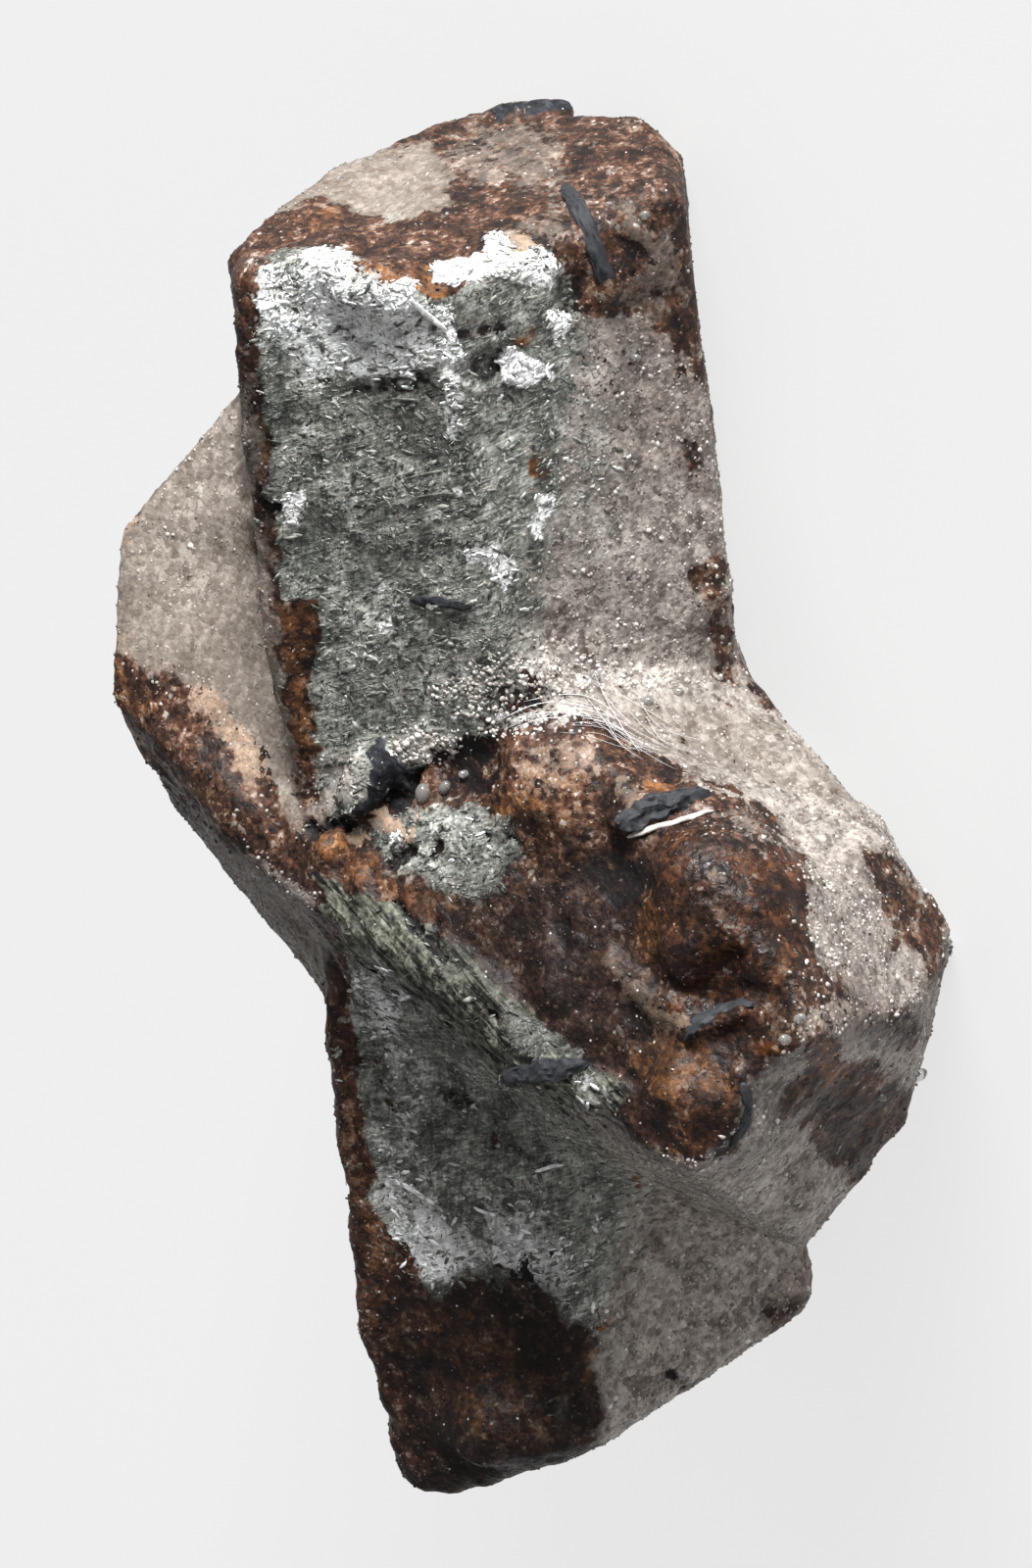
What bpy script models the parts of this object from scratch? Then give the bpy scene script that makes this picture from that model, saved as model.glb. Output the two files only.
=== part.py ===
"""A staurolite cross: two six-sided prisms grown through each other as a sixty degree twin.

The cross lies on its side, as the loose stone rests on a table: the plane of its two long axes is level,
the main prism runs along +X, and small worn flats on the lowest edges of all four arms touch z = 0.
"""

import math
from typing import NamedTuple

import bmesh
import bpy
from mathutils import Matrix, Vector, noise

MM = 0.001

# Staurolite's cell edges in angstroms, which fix the angles between its faces
CELL_A = 7.86
CELL_B = 16.60
CELL_C = 5.65

# The two prisms are related by a half turn about the normal of this face
TWIN_FACE = (2, 3, 1)

# Distances of the main prism's faces from the crossing point, in millimetres
MAIN_FRONT_LEFT = 3.38
MAIN_FRONT_RIGHT = 2.95
MAIN_BACK_LEFT = 3.04
MAIN_BACK_RIGHT = 3.29
MAIN_SIDE_LEFT = 4.30
MAIN_SIDE_RIGHT = 3.85
MAIN_TOP = 11.45
MAIN_FOOT = 11.30

# The same for the second prism, whose near end is the thick head
SECOND_FRONT = 3.89
SECOND_BACK = 5.15
SECOND_SIDE_NEAR = 3.90
SECOND_SIDE_FAR = 3.70
SECOND_HEAD = 8.80
SECOND_TAIL = 8.00

# How far the crossing point lies above the table, set by the worn flats
REST_HEIGHT = 4.08

# Worn radius of the ends and of the long edges, and what counts as an end, as sharp and as long
END_WEAR = 0.50
EDGE_WEAR = 0.16
END_LEAN = 0.3
SHARP_ANGLE = math.radians(25)
LONG_EDGE = 2.0

# Spacing of the grid that carries the surface relief, and how often it is split to get there
GRID = 1.70
GRID_PASSES = 6
FLAT_ANGLE = math.radians(0.3)

# Depth of the surface relief and the widths of its bumps
RELIEF = 0.10
BROAD_BUMPS = 2.2
FINE_BUMPS = 0.9

# Chips are deeper, and lie where their own noise rises above a threshold
CHIP_WIDTH = 1.23
CHIP_THRESHOLD = 0.55
CHIP_DEPTH = 0.25

# How far a point may move, as a share of its shortest edge
ROOM = 0.3

# Inward corners sharper than this are eased, this many times over
CORNER_ANGLE = math.radians(14)
CORNER_PASSES = 2

# Lumps with a radius over this have finer triangles. Their bumps are counted over the radius.
BIG_LUMP = 1.65
LUMP_BUMPS = 1.7

# Ribs: their sides, the spacing of their rings, their bumps and how thin their ends get
RIB_SIDES = 8
RIB_SPACING = 1.2
RIB_SPACING_LEAST = 0.35
RIB_ROUGHNESS = 0.22
RIB_BUMPS = 0.8
RIB_TAPER = 0.12

# Share of a lath's width and length that its worn edges take
LATH_WEAR = 0.14

# A lath whose middle is past this height lies on the main prism's top end
TOP_LATH_HEIGHT = 11.3

# The block that everything is cut from, and the one that wears the flats
BLOCK_SIZE = 60
TABLE_SIZE = 60
TABLE_DEPTH = 20


class Lump(NamedTuple):
    """A rough ball, in its prism's axes a, b, c and in millimetres."""
    name: str
    prism: str
    centre: tuple
    radii: tuple
    roughness: float
    seed: int


class Rib(NamedTuple):
    """A rough bar along a smooth curve through its points."""
    name: str
    prism: str
    points: tuple
    radius: float
    height: float
    seed: int


class Lath(NamedTuple):
    """A flat blade from one end to the other."""
    name: str
    prism: str
    start: tuple
    end: tuple
    width: float
    thickness: float


def prism_face(a_sign, b_sign):
    """Normal of one of the four {110} prism faces, in crystal axes a, b, c."""
    return Vector((a_sign / CELL_A, b_sign / CELL_B, 0)).normalized()


# Each face: its normal in crystal axes and its distance in millimetres. Slanted ones are broken ends.
MAIN_FACES = (
    (prism_face(1, -1), MAIN_FRONT_LEFT),
    (prism_face(1, 1), MAIN_FRONT_RIGHT),
    (prism_face(-1, -1), MAIN_BACK_LEFT),
    (prism_face(-1, 1), MAIN_BACK_RIGHT),
    (Vector((0, -1, 0)), MAIN_SIDE_LEFT),
    (Vector((0, 1, 0)), MAIN_SIDE_RIGHT),
    (Vector((0.12, -0.06, 1)), MAIN_TOP),
    (Vector((-0.55, -0.80, 0.75)), 9.80),
    (Vector((0, 1.0, 0.8)), 11.20),
    (Vector((0.05, 0.36, -1)), MAIN_FOOT),
    (Vector((0.10, -0.9, -0.8)), 11.60),
    (Vector((0, 1.0, -0.55)), 8.90),
)
SECOND_FACES = (
    (prism_face(1, -1), SECOND_FRONT),
    (prism_face(1, 1), SECOND_FRONT),
    (prism_face(-1, -1), SECOND_BACK),
    (prism_face(-1, 1), SECOND_BACK),
    (Vector((0, 1, 0)), SECOND_SIDE_NEAR),
    (Vector((0, -1, 0)), SECOND_SIDE_FAR),
    (Vector((0.03, -0.14, 1)), SECOND_HEAD),
    (Vector((0, 0, -1)), SECOND_TAIL),
    (Vector((-1, 0.45, 0.22)), 4.75),
    (Vector((-1, 0.18, 0.42)), 5.52),
    (Vector((0.85, 0.10, 0.50)), 6.70),
    (Vector((-0.80, 0.25, -0.80)), 7.50),
    (Vector((0.60, -0.60, 1.10)), 8.60),
)

# Rounded lumps on the faces
LUMPS = (
    Lump("smooth knob", "second", (2.00, 2.85, 6.20), (1.65, 1.70, 1.85), 0.08, 3),
    Lump("knob shoulder", "second", (2.45, 2.45, 4.70), (1.10, 1.20, 1.30), 0.12, 5),
    Lump("brown bump", "second", (1.30, 3.10, 2.20), (1.35, 1.30, 1.66), 0.14, 8),
    Lump("lobe at the lower corner", "second", (-0.60, 3.05, 8.50), (1.10, 1.30, 1.10), 0.14, 13),
    Lump("brown swell", "second", (-0.90, 2.60, 5.60), (1.70, 1.55, 2.20), 0.14, 15),
    Lump("left tip", "second", (-2.72, 3.50, -0.25), (0.50, 0.66, 0.62), 0.14, 21),
    Lump("left tip lump", "second", (-2.45, 3.55, 0.80), (0.46, 0.62, 0.75), 0.14, 34),
    Lump("head back corner", "second", (1.55, -2.50, 7.40), (1.60, 1.50, 1.20), 0.18, 55),
    Lump("head foot", "second", (-1.60, -1.40, 7.90), (1.40, 1.50, 1.10), 0.18, 56),
    Lump("head side swell", "second", (3.10, -0.40, 5.40), (1.10, 1.20, 1.70), 0.16, 57),
    Lump("tail swell", "second", (-3.20, -1.90, -4.20), (1.30, 1.40, 1.60), 0.16, 58),
    Lump("lip chip", "main", (2.75, -1.60, 10.85), (0.60, 0.85, 0.55), 0.14, 89),
    Lump("crown", "main", (-2.40, 1.00, 10.90), (1.20, 1.50, 1.00), 0.16, 90),
    Lump("top right shoulder", "main", (0.70, 2.70, 10.30), (1.20, 1.20, 1.20), 0.16, 91),
    Lump("right edge knob", "main", (1.35, 3.20, 3.90), (0.62, 0.75, 0.80), 0.14, 92),
    Lump("back swell", "main", (-1.80, -2.90, 4.60), (1.30, 1.10, 1.90), 0.14, 93),
    Lump("left side swell", "main", (0.20, -3.60, -8.60), (1.10, 0.85, 1.50), 0.14, 94),
    Lump("foot patch", "main", (2.10, -1.60, -11.40), (1.50, 1.80, 1.10), 0.16, 95),
)

# Raised ribs, rims and fillets
RIBS = (
    Rib("top lip", "main",
        ((1.10, -4.12, 11.05), (2.49, -2.40, 10.98), (3.40, -0.70, 10.85)), 0.45, 0.36, 11),
    Rib("upper left rim", "main",
        ((1.72, -4.08, 10.60), (1.72, -4.10, 5.50), (1.66, -4.12, 0.80)), 0.34, 0.42, 12),
    Rib("lower left rim", "main",
        ((1.66, -4.12, -2.00), (1.62, -4.14, -7.00), (1.60, -4.10, -11.00)), 0.34, 0.36, 14),
    Rib("schist fillet", "main",
        ((1.50, -4.00, -1.30), (2.40, -2.30, -2.80), (3.20, -0.55, -4.40)), 0.95, 1.00, 15),
    Rib("sand fillet", "main",
        ((3.20, -0.55, -4.40), (2.30, 1.50, -6.60), (1.30, 3.20, -8.40)), 0.95, 1.15, 16),
    Rib("grain seam", "main",
        ((3.05, -1.20, 2.20), (3.05, 0.10, 2.60), (2.10, 2.00, 2.30), (1.30, 3.40, 2.00)), 0.55, 0.70, 17),
    Rib("lower band", "second",
        ((-2.95, 3.58, 0.60), (-2.35, 3.58, 3.30), (-1.75, 3.58, 6.20), (-1.25, 3.50, 8.40)),
        0.50, 0.56, 18),
    Rib("tail band", "second",
        ((-3.55, 3.50, -6.00), (-3.50, 3.52, -3.40), (-3.20, 3.52, -1.00)), 0.70, 0.60, 19),
    Rib("curved ridge", "second",
        ((0.00, 3.78, 5.35), (0.10, 3.84, 6.30), (0.45, 3.80, 7.20), (1.05, 3.66, 7.90)), 0.24, 0.42, 20),
)

# Dark flat laths stuck in the surface
LATHS = (
    Lath("black lath", "second", (1.80, 4.22, 3.90), (3.10, 3.12, 4.22), 0.44, 0.50),
    Lath("grey lath", "second", (0.18, 4.10, 7.60), (1.38, 3.98, 8.25), 0.28, 0.36),
    Lath("curved lath", "second", (0.60, 3.92, 8.95), (-0.60, 3.55, 9.35), 0.22, 0.40),
    Lath("junction lath", "second", (-3.10, 3.20, 5.15), (-1.80, 3.85, 6.40), 0.40, 0.60),
    Lath("slate plate", "second", (-1.75, 4.05, -0.35), (-0.55, 4.30, -0.60), 0.75, 0.60),
    Lath("top right lath", "main", (1.40, 1.92, 11.70), (2.40, 2.35, 9.95), 0.42, 0.36),
    Lath("small lath", "main", (3.34, -0.75, 5.05), (3.02, -1.65, 4.85), 0.20, 0.26),
    Lath("crown lath", "main", (-2.85, 0.60, 11.85), (-2.90, 2.10, 11.80), 0.55, 0.45),
)

# Hollows and pits, cut out with the same shape as a lump
HOLLOWS = (
    Lump("knob hollow", "second", (1.45, 4.20, 7.45), (0.80, 0.80, 0.62), 0.14, 41),
    Lump("end face dent", "second", (0.75, 3.30, 9.75), (0.85, 1.10, 0.85), 0.14, 46),
    Lump("chipped corner", "second", (3.80, 3.10, 7.60), (0.95, 0.90, 0.80), 0.14, 42),
    Lump("junction crack", "second", (-0.75, 4.40, -0.05), (0.45, 0.80, 0.30), 0.12, 43),
    Lump("dip beside the bump", "second", (0.30, 4.75, 3.70), (0.85, 0.95, 1.00), 0.14, 47),
    Lump("pit", "main", (3.20, 0.15, 9.32), (0.32, 0.36, 0.34), 0.12, 44),
    Lump("top dent", "main", (0.20, -1.80, 12.15), (1.90, 1.70, 0.85), 0.14, 45),
    Lump("back dent", "main", (-3.90, 0.40, -6.00), (1.00, 1.20, 1.60), 0.16, 48),
    Lump("foot dent", "main", (-1.20, -1.60, -13.60), (1.50, 1.60, 1.10), 0.16, 49),
    Lump("tail dent", "second", (-2.20, 0.60, -8.70), (1.50, 1.60, 1.00), 0.16, 50),
)


def crystal_frames():
    """Axes of the two prisms in the world: the columns of each matrix are the directions of a, b and c."""
    turn = Vector((TWIN_FACE[0] / CELL_A, TWIN_FACE[1] / CELL_B, TWIN_FACE[2] / CELL_C)).normalized()
    twin = Matrix([[2 * turn[i] * turn[j] - (i == j) for j in range(3)] for i in range(3)])
    long_axis = Vector((0, 0, 1))
    up = (twin @ long_axis).cross(long_axis).normalized()
    main = Matrix((long_axis, up.cross(long_axis), up))
    return {"main": main, "second": main @ twin}


FRAMES = crystal_frames()


def fractal(point, scale, octaves=3):
    """Smooth noise between about -1 and 1 whose largest bumps are one scale across."""
    return noise.fractal(point / scale, 0.7, 2.1, octaves, noise_basis="PERLIN_ORIGINAL")


def cut_block(faces):
    """A block cut by each crystal face in turn, as one closed convex solid."""
    bm = bmesh.new()
    bmesh.ops.create_cube(bm, size=BLOCK_SIZE)
    for normal, distance in faces:
        direction = normal.normalized()
        everything = bm.verts[:] + bm.edges[:] + bm.faces[:]
        bmesh.ops.bisect_plane(
            bm, geom=everything, plane_co=direction * distance, plane_no=direction, clear_outer=True)
        open_edges = [edge for edge in bm.edges if edge.is_boundary]
        if open_edges:
            bmesh.ops.contextual_create(bm, geom=open_edges)
    bmesh.ops.recalc_face_normals(bm, faces=bm.faces[:])
    return bm


def wear_edges(bm):
    """Round the broken ends more than the long prism edges."""
    ends = [edge for edge in bm.edges if any(abs(face.normal.z) > END_LEAN for face in edge.link_faces)]
    bmesh.ops.bevel(
        bm, geom=ends, offset=END_WEAR, segments=2, affect="EDGES", profile=0.5, clamp_overlap=True)
    sharp = [edge for edge in bm.edges if edge.calc_face_angle(0) > SHARP_ANGLE]
    long_edges = [edge for edge in sharp if edge.calc_length() > LONG_EDGE]
    bmesh.ops.bevel(
        bm, geom=long_edges, offset=EDGE_WEAR, segments=1, affect="EDGES", profile=0.5, clamp_overlap=True)


def refine(bm):
    """Split long edges until the triangles are small enough to carry relief."""
    bmesh.ops.triangulate(bm, faces=bm.faces[:])
    for _ in range(GRID_PASSES):
        flat = [edge for edge in bm.edges if edge.calc_face_angle(1) < FLAT_ANGLE]
        bmesh.ops.beautify_fill(bm, faces=bm.faces[:], edges=flat)
        wide = [edge for edge in bm.edges if edge.calc_length() > GRID * MM]
        if not wide:
            break
        bmesh.ops.subdivide_edges(bm, edges=wide, cuts=1)
        bmesh.ops.triangulate(bm, faces=bm.faces[:])


def fill_corners(bm):
    """Ease the inward corners, where schist and sand have gathered and the lumps grow out of the faces."""
    for _ in range(CORNER_PASSES):
        inner = [edge for edge in bm.edges if edge.calc_face_angle_signed(0) < -CORNER_ANGLE]
        corner = list({vert for edge in inner for vert in edge.verts})
        bmesh.ops.smooth_vert(
            bm, verts=corner, factor=0.5, use_axis_x=True, use_axis_y=True, use_axis_z=True)


def weather(bm):
    """Press the surface in and out a little, with a few deeper chips. Close points move least."""
    bm.normal_update()
    moves = []
    for vert in bm.verts:
        spot = vert.co / MM
        depth = RELIEF * (fractal(spot, BROAD_BUMPS) + 0.5 * fractal(spot, FINE_BUMPS))
        chip = max(0.0, fractal(spot, CHIP_WIDTH) - CHIP_THRESHOLD)
        push = (depth - CHIP_DEPTH * chip) * MM
        room = ROOM * min(edge.calc_length() for edge in vert.link_edges)
        moves.append(vert.normal * max(-room, min(room, push)))
    for vert, move in zip(bm.verts, moves):
        vert.co += move


def finish_mesh(bm, name, prism):
    """Turn a solid from a prism's axes into the world, in metres, as a new object."""
    bmesh.ops.transform(bm, matrix=(FRAMES[prism] * MM).to_4x4(), verts=bm.verts[:])
    bmesh.ops.recalc_face_normals(bm, faces=bm.faces[:])
    mesh = bpy.data.meshes.new(name)
    bm.to_mesh(mesh)
    bm.free()
    obj = bpy.data.objects.new(name, mesh)
    bpy.context.scene.collection.objects.link(obj)
    return obj


def make_prism(name, prism, faces):
    """One crystal with worn edges."""
    bm = cut_block(faces)
    wear_edges(bm)
    bmesh.ops.triangulate(bm, faces=bm.faces[:])
    return finish_mesh(bm, name, prism)


def make_lump(lump):
    """A rough rounded lump."""
    bm = bmesh.new()
    level = 3 if max(lump.radii) > BIG_LUMP else 2
    bmesh.ops.create_icosphere(bm, subdivisions=level, radius=1)
    for vert in bm.verts:
        direction = vert.co.normalized()
        swell = 1 + lump.roughness * fractal(direction * LUMP_BUMPS + Vector((lump.seed, 0, 0)), 1.0)
        reach = Vector(direction[i] * lump.radii[i] for i in range(3))
        vert.co = Vector(lump.centre) + reach * swell
    return finish_mesh(bm, lump.name, lump.prism)


def smooth_path(points, steps):
    """Points along a smooth curve through the given ones."""
    knots = [Vector(point) for point in points]
    knots = [2 * knots[0] - knots[1]] + knots + [2 * knots[-1] - knots[-2]]
    path = []
    for before, start, end, after in zip(knots, knots[1:], knots[2:], knots[3:]):
        for step in range(steps):
            t = step / steps
            path.append(0.5 * (2 * start + (end - before) * t
                               + (2 * before - 5 * start + 4 * end - after) * t ** 2
                               + (3 * start - before - 3 * end + after) * t ** 3))
    path.append(knots[-2])
    return path


def make_rib(rib):
    """A rough rib along a curve, tapered at its ends and flattened towards the crystal's face."""
    length = (Vector(rib.points[-1]) - Vector(rib.points[0])).length
    spacing = RIB_SPACING * rib.radius + RIB_SPACING_LEAST
    steps = max(2, round(length / spacing / (len(rib.points) - 1)))
    path = smooth_path(rib.points, steps)
    last = len(path) - 1
    bm = bmesh.new()
    rings = []
    for index, spot in enumerate(path):
        run = (path[min(index + 1, last)] - path[max(index - 1, 0)]).normalized()
        outward = Vector((spot.x, spot.y, 0)).normalized()
        across = run.cross(outward).normalized()
        lift = across.cross(run).normalized()
        taper = math.sqrt(max(RIB_TAPER, 1 - (2 * index / last - 1) ** 4))
        ring = []
        for side in range(RIB_SIDES):
            angle = 2 * math.pi * side / RIB_SIDES
            rough = taper * (1 + RIB_ROUGHNESS * fractal(spot + Vector((rib.seed, angle, 0)), RIB_BUMPS))
            wide = across * math.cos(angle) * rib.radius * rough
            high = lift * math.sin(angle) * rib.height * rough
            ring.append(bm.verts.new(spot + wide + high))
        rings.append(ring)
    for first, second in zip(rings, rings[1:]):
        for side in range(RIB_SIDES):
            following = (side + 1) % RIB_SIDES
            bm.faces.new((first[side], first[following], second[following], second[side]))
    bm.faces.new(rings[0])
    bm.faces.new(rings[-1])
    bmesh.ops.triangulate(bm, faces=bm.faces[:])
    return finish_mesh(bm, rib.name, rib.prism)


def make_lath(lath):
    """A flat dark crystal blade with worn edges."""
    start, end = Vector(lath.start), Vector(lath.end)
    middle = (start + end) / 2
    run = end - start
    on_the_end = middle.z > TOP_LATH_HEIGHT
    outward = Vector((0, 0, 1)) if on_the_end else Vector((middle.x, middle.y, 0)).normalized()
    across = run.cross(outward).normalized()
    lift = across.cross(run).normalized()
    turn = Matrix((run, across * lath.width, lift * lath.thickness)).transposed().to_4x4()
    bm = bmesh.new()
    bmesh.ops.create_cube(bm, size=1)
    bmesh.ops.bevel(bm, geom=bm.edges[:], offset=LATH_WEAR, segments=1, affect="EDGES", profile=0.5)
    bmesh.ops.transform(bm, matrix=Matrix.Translation(middle) @ turn, verts=bm.verts[:])
    bmesh.ops.triangulate(bm, faces=bm.faces[:])
    return finish_mesh(bm, lath.name, lath.prism)


def add_booleans(target, tools, operation):
    """Join each tool to the target or cut it out, and keep it as a hidden guide."""
    for tool in tools:
        modifier = target.modifiers.new(tool.name, "BOOLEAN")
        modifier.operation = operation
        modifier.solver = "MANIFOLD"
        modifier.object = tool
        tool.hide_render = True
        tool.display_type = "WIRE"


def table_cutter():
    """A block whose top lies at the table, to wear flats on the lowest edges."""
    bm = bmesh.new()
    bmesh.ops.create_cube(bm, size=1)
    size = Matrix.Diagonal((TABLE_SIZE, TABLE_SIZE, TABLE_DEPTH, 1))
    down = Matrix.Translation((0, 0, -REST_HEIGHT - TABLE_DEPTH / 2))
    bmesh.ops.transform(bm, matrix=Matrix.Scale(MM, 4) @ down @ size, verts=bm.verts[:])
    mesh = bpy.data.meshes.new("table_cutter")
    bm.to_mesh(mesh)
    bm.free()
    obj = bpy.data.objects.new("table_cutter", mesh)
    bpy.context.scene.collection.objects.link(obj)
    return obj


def staurolite_material():
    """Dull reddish-brown stone."""
    material = bpy.data.materials.new("staurolite")
    material.use_nodes = True
    shader = material.node_tree.nodes["Principled BSDF"]
    shader.inputs["Base Color"].default_value = (0.17, 0.11, 0.075, 1)
    shader.inputs["Roughness"].default_value = 0.62
    shader.inputs["Metallic"].default_value = 0.0
    return material


def freeze(obj):
    """Replace the object's mesh by what its modifiers make of it."""
    evaluated = obj.evaluated_get(bpy.context.evaluated_depsgraph_get())
    mesh = bpy.data.meshes.new_from_object(evaluated)
    obj.modifiers.clear()
    obj.data = mesh


def roughen(obj):
    """Give the joined solid its uneven surface."""
    freeze(obj)
    bm = bmesh.new()
    bm.from_mesh(obj.data)
    refine(bm)
    fill_corners(bm)
    weather(bm)
    bm.to_mesh(obj.data)
    bm.free()


def settle(obj):
    """Stand the solid on z = 0 with the middle of its box at the origin. Returns where the prisms cross."""
    freeze(obj)
    points = obj.data.vertices
    middle = [(min(v.co[i] for v in points) + max(v.co[i] for v in points)) / 2 for i in range(2)]
    crossing = Vector((-middle[0], -middle[1], REST_HEIGHT * MM))
    obj.data.transform(Matrix.Translation(crossing))
    return crossing


def build():
    """Model the cross."""
    for old in list(bpy.data.objects):
        bpy.data.objects.remove(old)
    cross = make_prism("staurolite_cross", "main", MAIN_FACES)
    grown = [make_prism("second_prism", "second", SECOND_FACES)]
    grown += [make_lump(lump) for lump in LUMPS]
    grown += [make_rib(rib) for rib in RIBS]
    hollows = [make_lump(hollow) for hollow in HOLLOWS]
    laths = [make_lath(lath) for lath in LATHS]
    add_booleans(cross, grown, "UNION")
    add_booleans(cross, hollows, "DIFFERENCE")
    roughen(cross)
    add_booleans(cross, laths, "UNION")
    add_booleans(cross, [table_cutter()], "DIFFERENCE")
    crossing = settle(cross)
    cross.data.materials.clear()
    cross.data.materials.append(staurolite_material())
    return crossing


CROSSING = build()
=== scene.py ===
"""The looks of a staurolite cross: two brown prisms crusted with silvery mica, sand and grey-green schist.

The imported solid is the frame. A fine skin is made from a copy of it, painted with finishes, and given its
relief. Flakes, grains, laths and lint are then set on that skin as meshes of their own.
"""

import math
from typing import NamedTuple

import bpy
import numpy as np
from mathutils import Matrix, Vector, noise
from mathutils.bvhtree import BVHTree


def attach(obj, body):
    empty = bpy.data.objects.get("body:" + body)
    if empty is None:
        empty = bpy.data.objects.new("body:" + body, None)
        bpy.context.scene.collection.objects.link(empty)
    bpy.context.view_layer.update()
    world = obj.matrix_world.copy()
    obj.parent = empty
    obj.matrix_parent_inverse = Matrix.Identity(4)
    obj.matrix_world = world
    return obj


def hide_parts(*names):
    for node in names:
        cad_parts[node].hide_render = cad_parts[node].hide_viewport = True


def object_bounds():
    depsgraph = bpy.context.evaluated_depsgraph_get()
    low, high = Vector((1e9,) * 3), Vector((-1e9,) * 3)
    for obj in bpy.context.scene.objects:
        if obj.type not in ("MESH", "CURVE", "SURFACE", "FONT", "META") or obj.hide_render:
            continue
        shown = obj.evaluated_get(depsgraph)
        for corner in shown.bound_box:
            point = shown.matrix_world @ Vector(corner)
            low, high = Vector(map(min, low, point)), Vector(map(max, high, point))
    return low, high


bl_info = {
    "name": "Staurolite Cross",
    "version": (1, 0, 0),
    "blender": (4, 5, 0),
    "location": "View3D > Sidebar > Staurolite",
    "description": "Dresses a staurolite twin in mica, sand and resinous brown stone",
    "category": "Object",
}

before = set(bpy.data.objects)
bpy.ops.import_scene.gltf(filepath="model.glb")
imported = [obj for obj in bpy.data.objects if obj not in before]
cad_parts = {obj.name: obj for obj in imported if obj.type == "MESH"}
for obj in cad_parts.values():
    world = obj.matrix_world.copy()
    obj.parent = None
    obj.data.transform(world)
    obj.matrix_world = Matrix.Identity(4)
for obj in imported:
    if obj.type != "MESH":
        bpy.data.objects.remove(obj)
SOLID_BOX = [list(corner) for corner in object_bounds()]

MM = 0.001
NODE = "staurolite_cross"
BODY = "root"

# Staurolite's cell edges in angstroms, and the face that relates the two prisms
CELL_A = 7.86
CELL_B = 16.60
CELL_C = 5.65
TWIN_FACE = (2, 3, 1)

# Where the two long axes cross, in millimetres from the middle of the box's underside
CROSSING = np.array((0.6032, 0.1693, 4.08))

# The camera's picture, its scale at the crossing, and how the main prism leans and rolls in it
PICTURE_WIDTH = 1053
PICTURE_HEIGHT = 1600
PIXELS_PER_MM = 56.0
CROSSING_PIXEL = (550.0, 800.0)
VIEW_DISTANCE = 220.0
LEAN = math.radians(22.0)
ROLL = math.radians(7.1)
SENSOR_WIDTH = 36.0


def prism_face(a_sign, b_sign):
    """Outward direction of one of the four slanted prism faces, in crystal axes a, b, c."""
    direction = np.array((a_sign / CELL_A, b_sign / CELL_B, 0.0))
    return direction / np.linalg.norm(direction)


SIDE_LEFT = np.array((0.0, -1.0, 0.0))
SIDE_RIGHT = np.array((0.0, 1.0, 0.0))

# The long faces of each prism and their distances from the crossing in millimetres
LONG_FACES = {
    "main": {
        "front left": (prism_face(1, -1), 3.38),
        "front right": (prism_face(1, 1), 2.95),
        "back left": (prism_face(-1, -1), 3.04),
        "back right": (prism_face(-1, 1), 3.29),
        "side left": (SIDE_LEFT, 4.30),
        "side right": (SIDE_RIGHT, 3.85),
    },
    "second": {
        "front left": (prism_face(1, -1), 3.89),
        "front right": (prism_face(1, 1), 3.89),
        "back left": (prism_face(-1, -1), 5.15),
        "back right": (prism_face(-1, 1), 5.15),
        "side left": (SIDE_LEFT, 3.70),
        "side right": (SIDE_RIGHT, 3.90),
    },
}


class Look(NamedTuple):
    """A finish: its shades from dark to light by the panel's colour names, its pattern and its roughness."""

    shades: tuple
    pattern: str
    roughness: float


# The shades are placed along the pattern's value, which lies mostly between 0.2 and 0.8
LOOKS = {
    "stone": Look(((0.28, "stone_dark"), (0.46, "stone"), (0.60, "stone_red"), (0.74, "stone_light"),
                   (0.92, "sand_light")), "crumb", 0.52),
    "mica": Look(((0.22, "mica_dark"), (0.40, "mica_deep"), (0.54, "mica"), (0.68, "mica_light"),
                  (0.84, "silver")), "leaf", 0.45),
    # The silver look's pale and white shades are partly the mica's own colour and partly painted glare
    "silver": Look(((0.16, "mica"), (0.32, "mica_light"), (0.46, "silver"), (0.64, "white")), "leaf", 0.34),
    "sand": Look(((0.20, "sand_dark"), (0.38, "sand_grey"), (0.52, "sand"), (0.70, "sand_light"),
                  (0.92, "quartz")), "grain", 0.60),
    "cream": Look(((0.15, "sand_grey"), (0.42, "cream"), (0.72, "cream_light"), (0.95, "quartz")),
                  "grain", 0.62),
    "dust": Look(((0.15, "dust_dark"), (0.50, "dust"), (0.85, "dust_light")), "grain", 0.70),
    "quartz": Look(((0.18, "sand_grey"), (0.38, "sand_light"), (0.60, "quartz"), (0.84, "white")),
                   "grain", 0.34),
    "schist": Look(((0.26, "black"), (0.42, "schist_deep"), (0.58, "schist"), (0.78, "schist_light")),
                   "layers", 0.60),
    "dark": Look(((0.30, "black"), (0.62, "stone_dark"), (0.88, "stone")), "crumb", 0.60),
    "rust": Look(((0.20, "stone"), (0.44, "rust"), (0.60, "rust_light"), (0.80, "ochre")), "crumb", 0.52),
    "amber": Look(((0.22, "rust"), (0.50, "amber"), (0.84, "ochre")), "crumb", 0.40),
    "slate": Look(((0.20, "black"), (0.50, "slate"), (0.86, "slate_light")), "layers", 0.72),
    "resin": Look(((0.28, "resin_dark"), (0.46, "resin"), (0.62, "resin_red"), (0.80, "resin_light")),
                  "crumb", 0.42),
}
FINISHES = tuple(LOOKS)


class Patch(NamedTuple):
    """A patch of one finish, outlined in pixels of the camera's picture, and how far it stands out in mm.

    The feather is the width of its soft edge in pixels, and the strength its cover in the middle.
    """

    name: str
    finish: str
    outline: tuple
    feather: float = 10.0
    strength: float = 1.0
    lift: float = 0.0


# How many pixels the outlines of the patches wander, and over how many mm
EDGE_WANDER = 12.0
EDGE_BUMPS = 0.55

# A patch of painted shade lays no finish: it darkens the colour beneath it where shade falls
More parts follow.
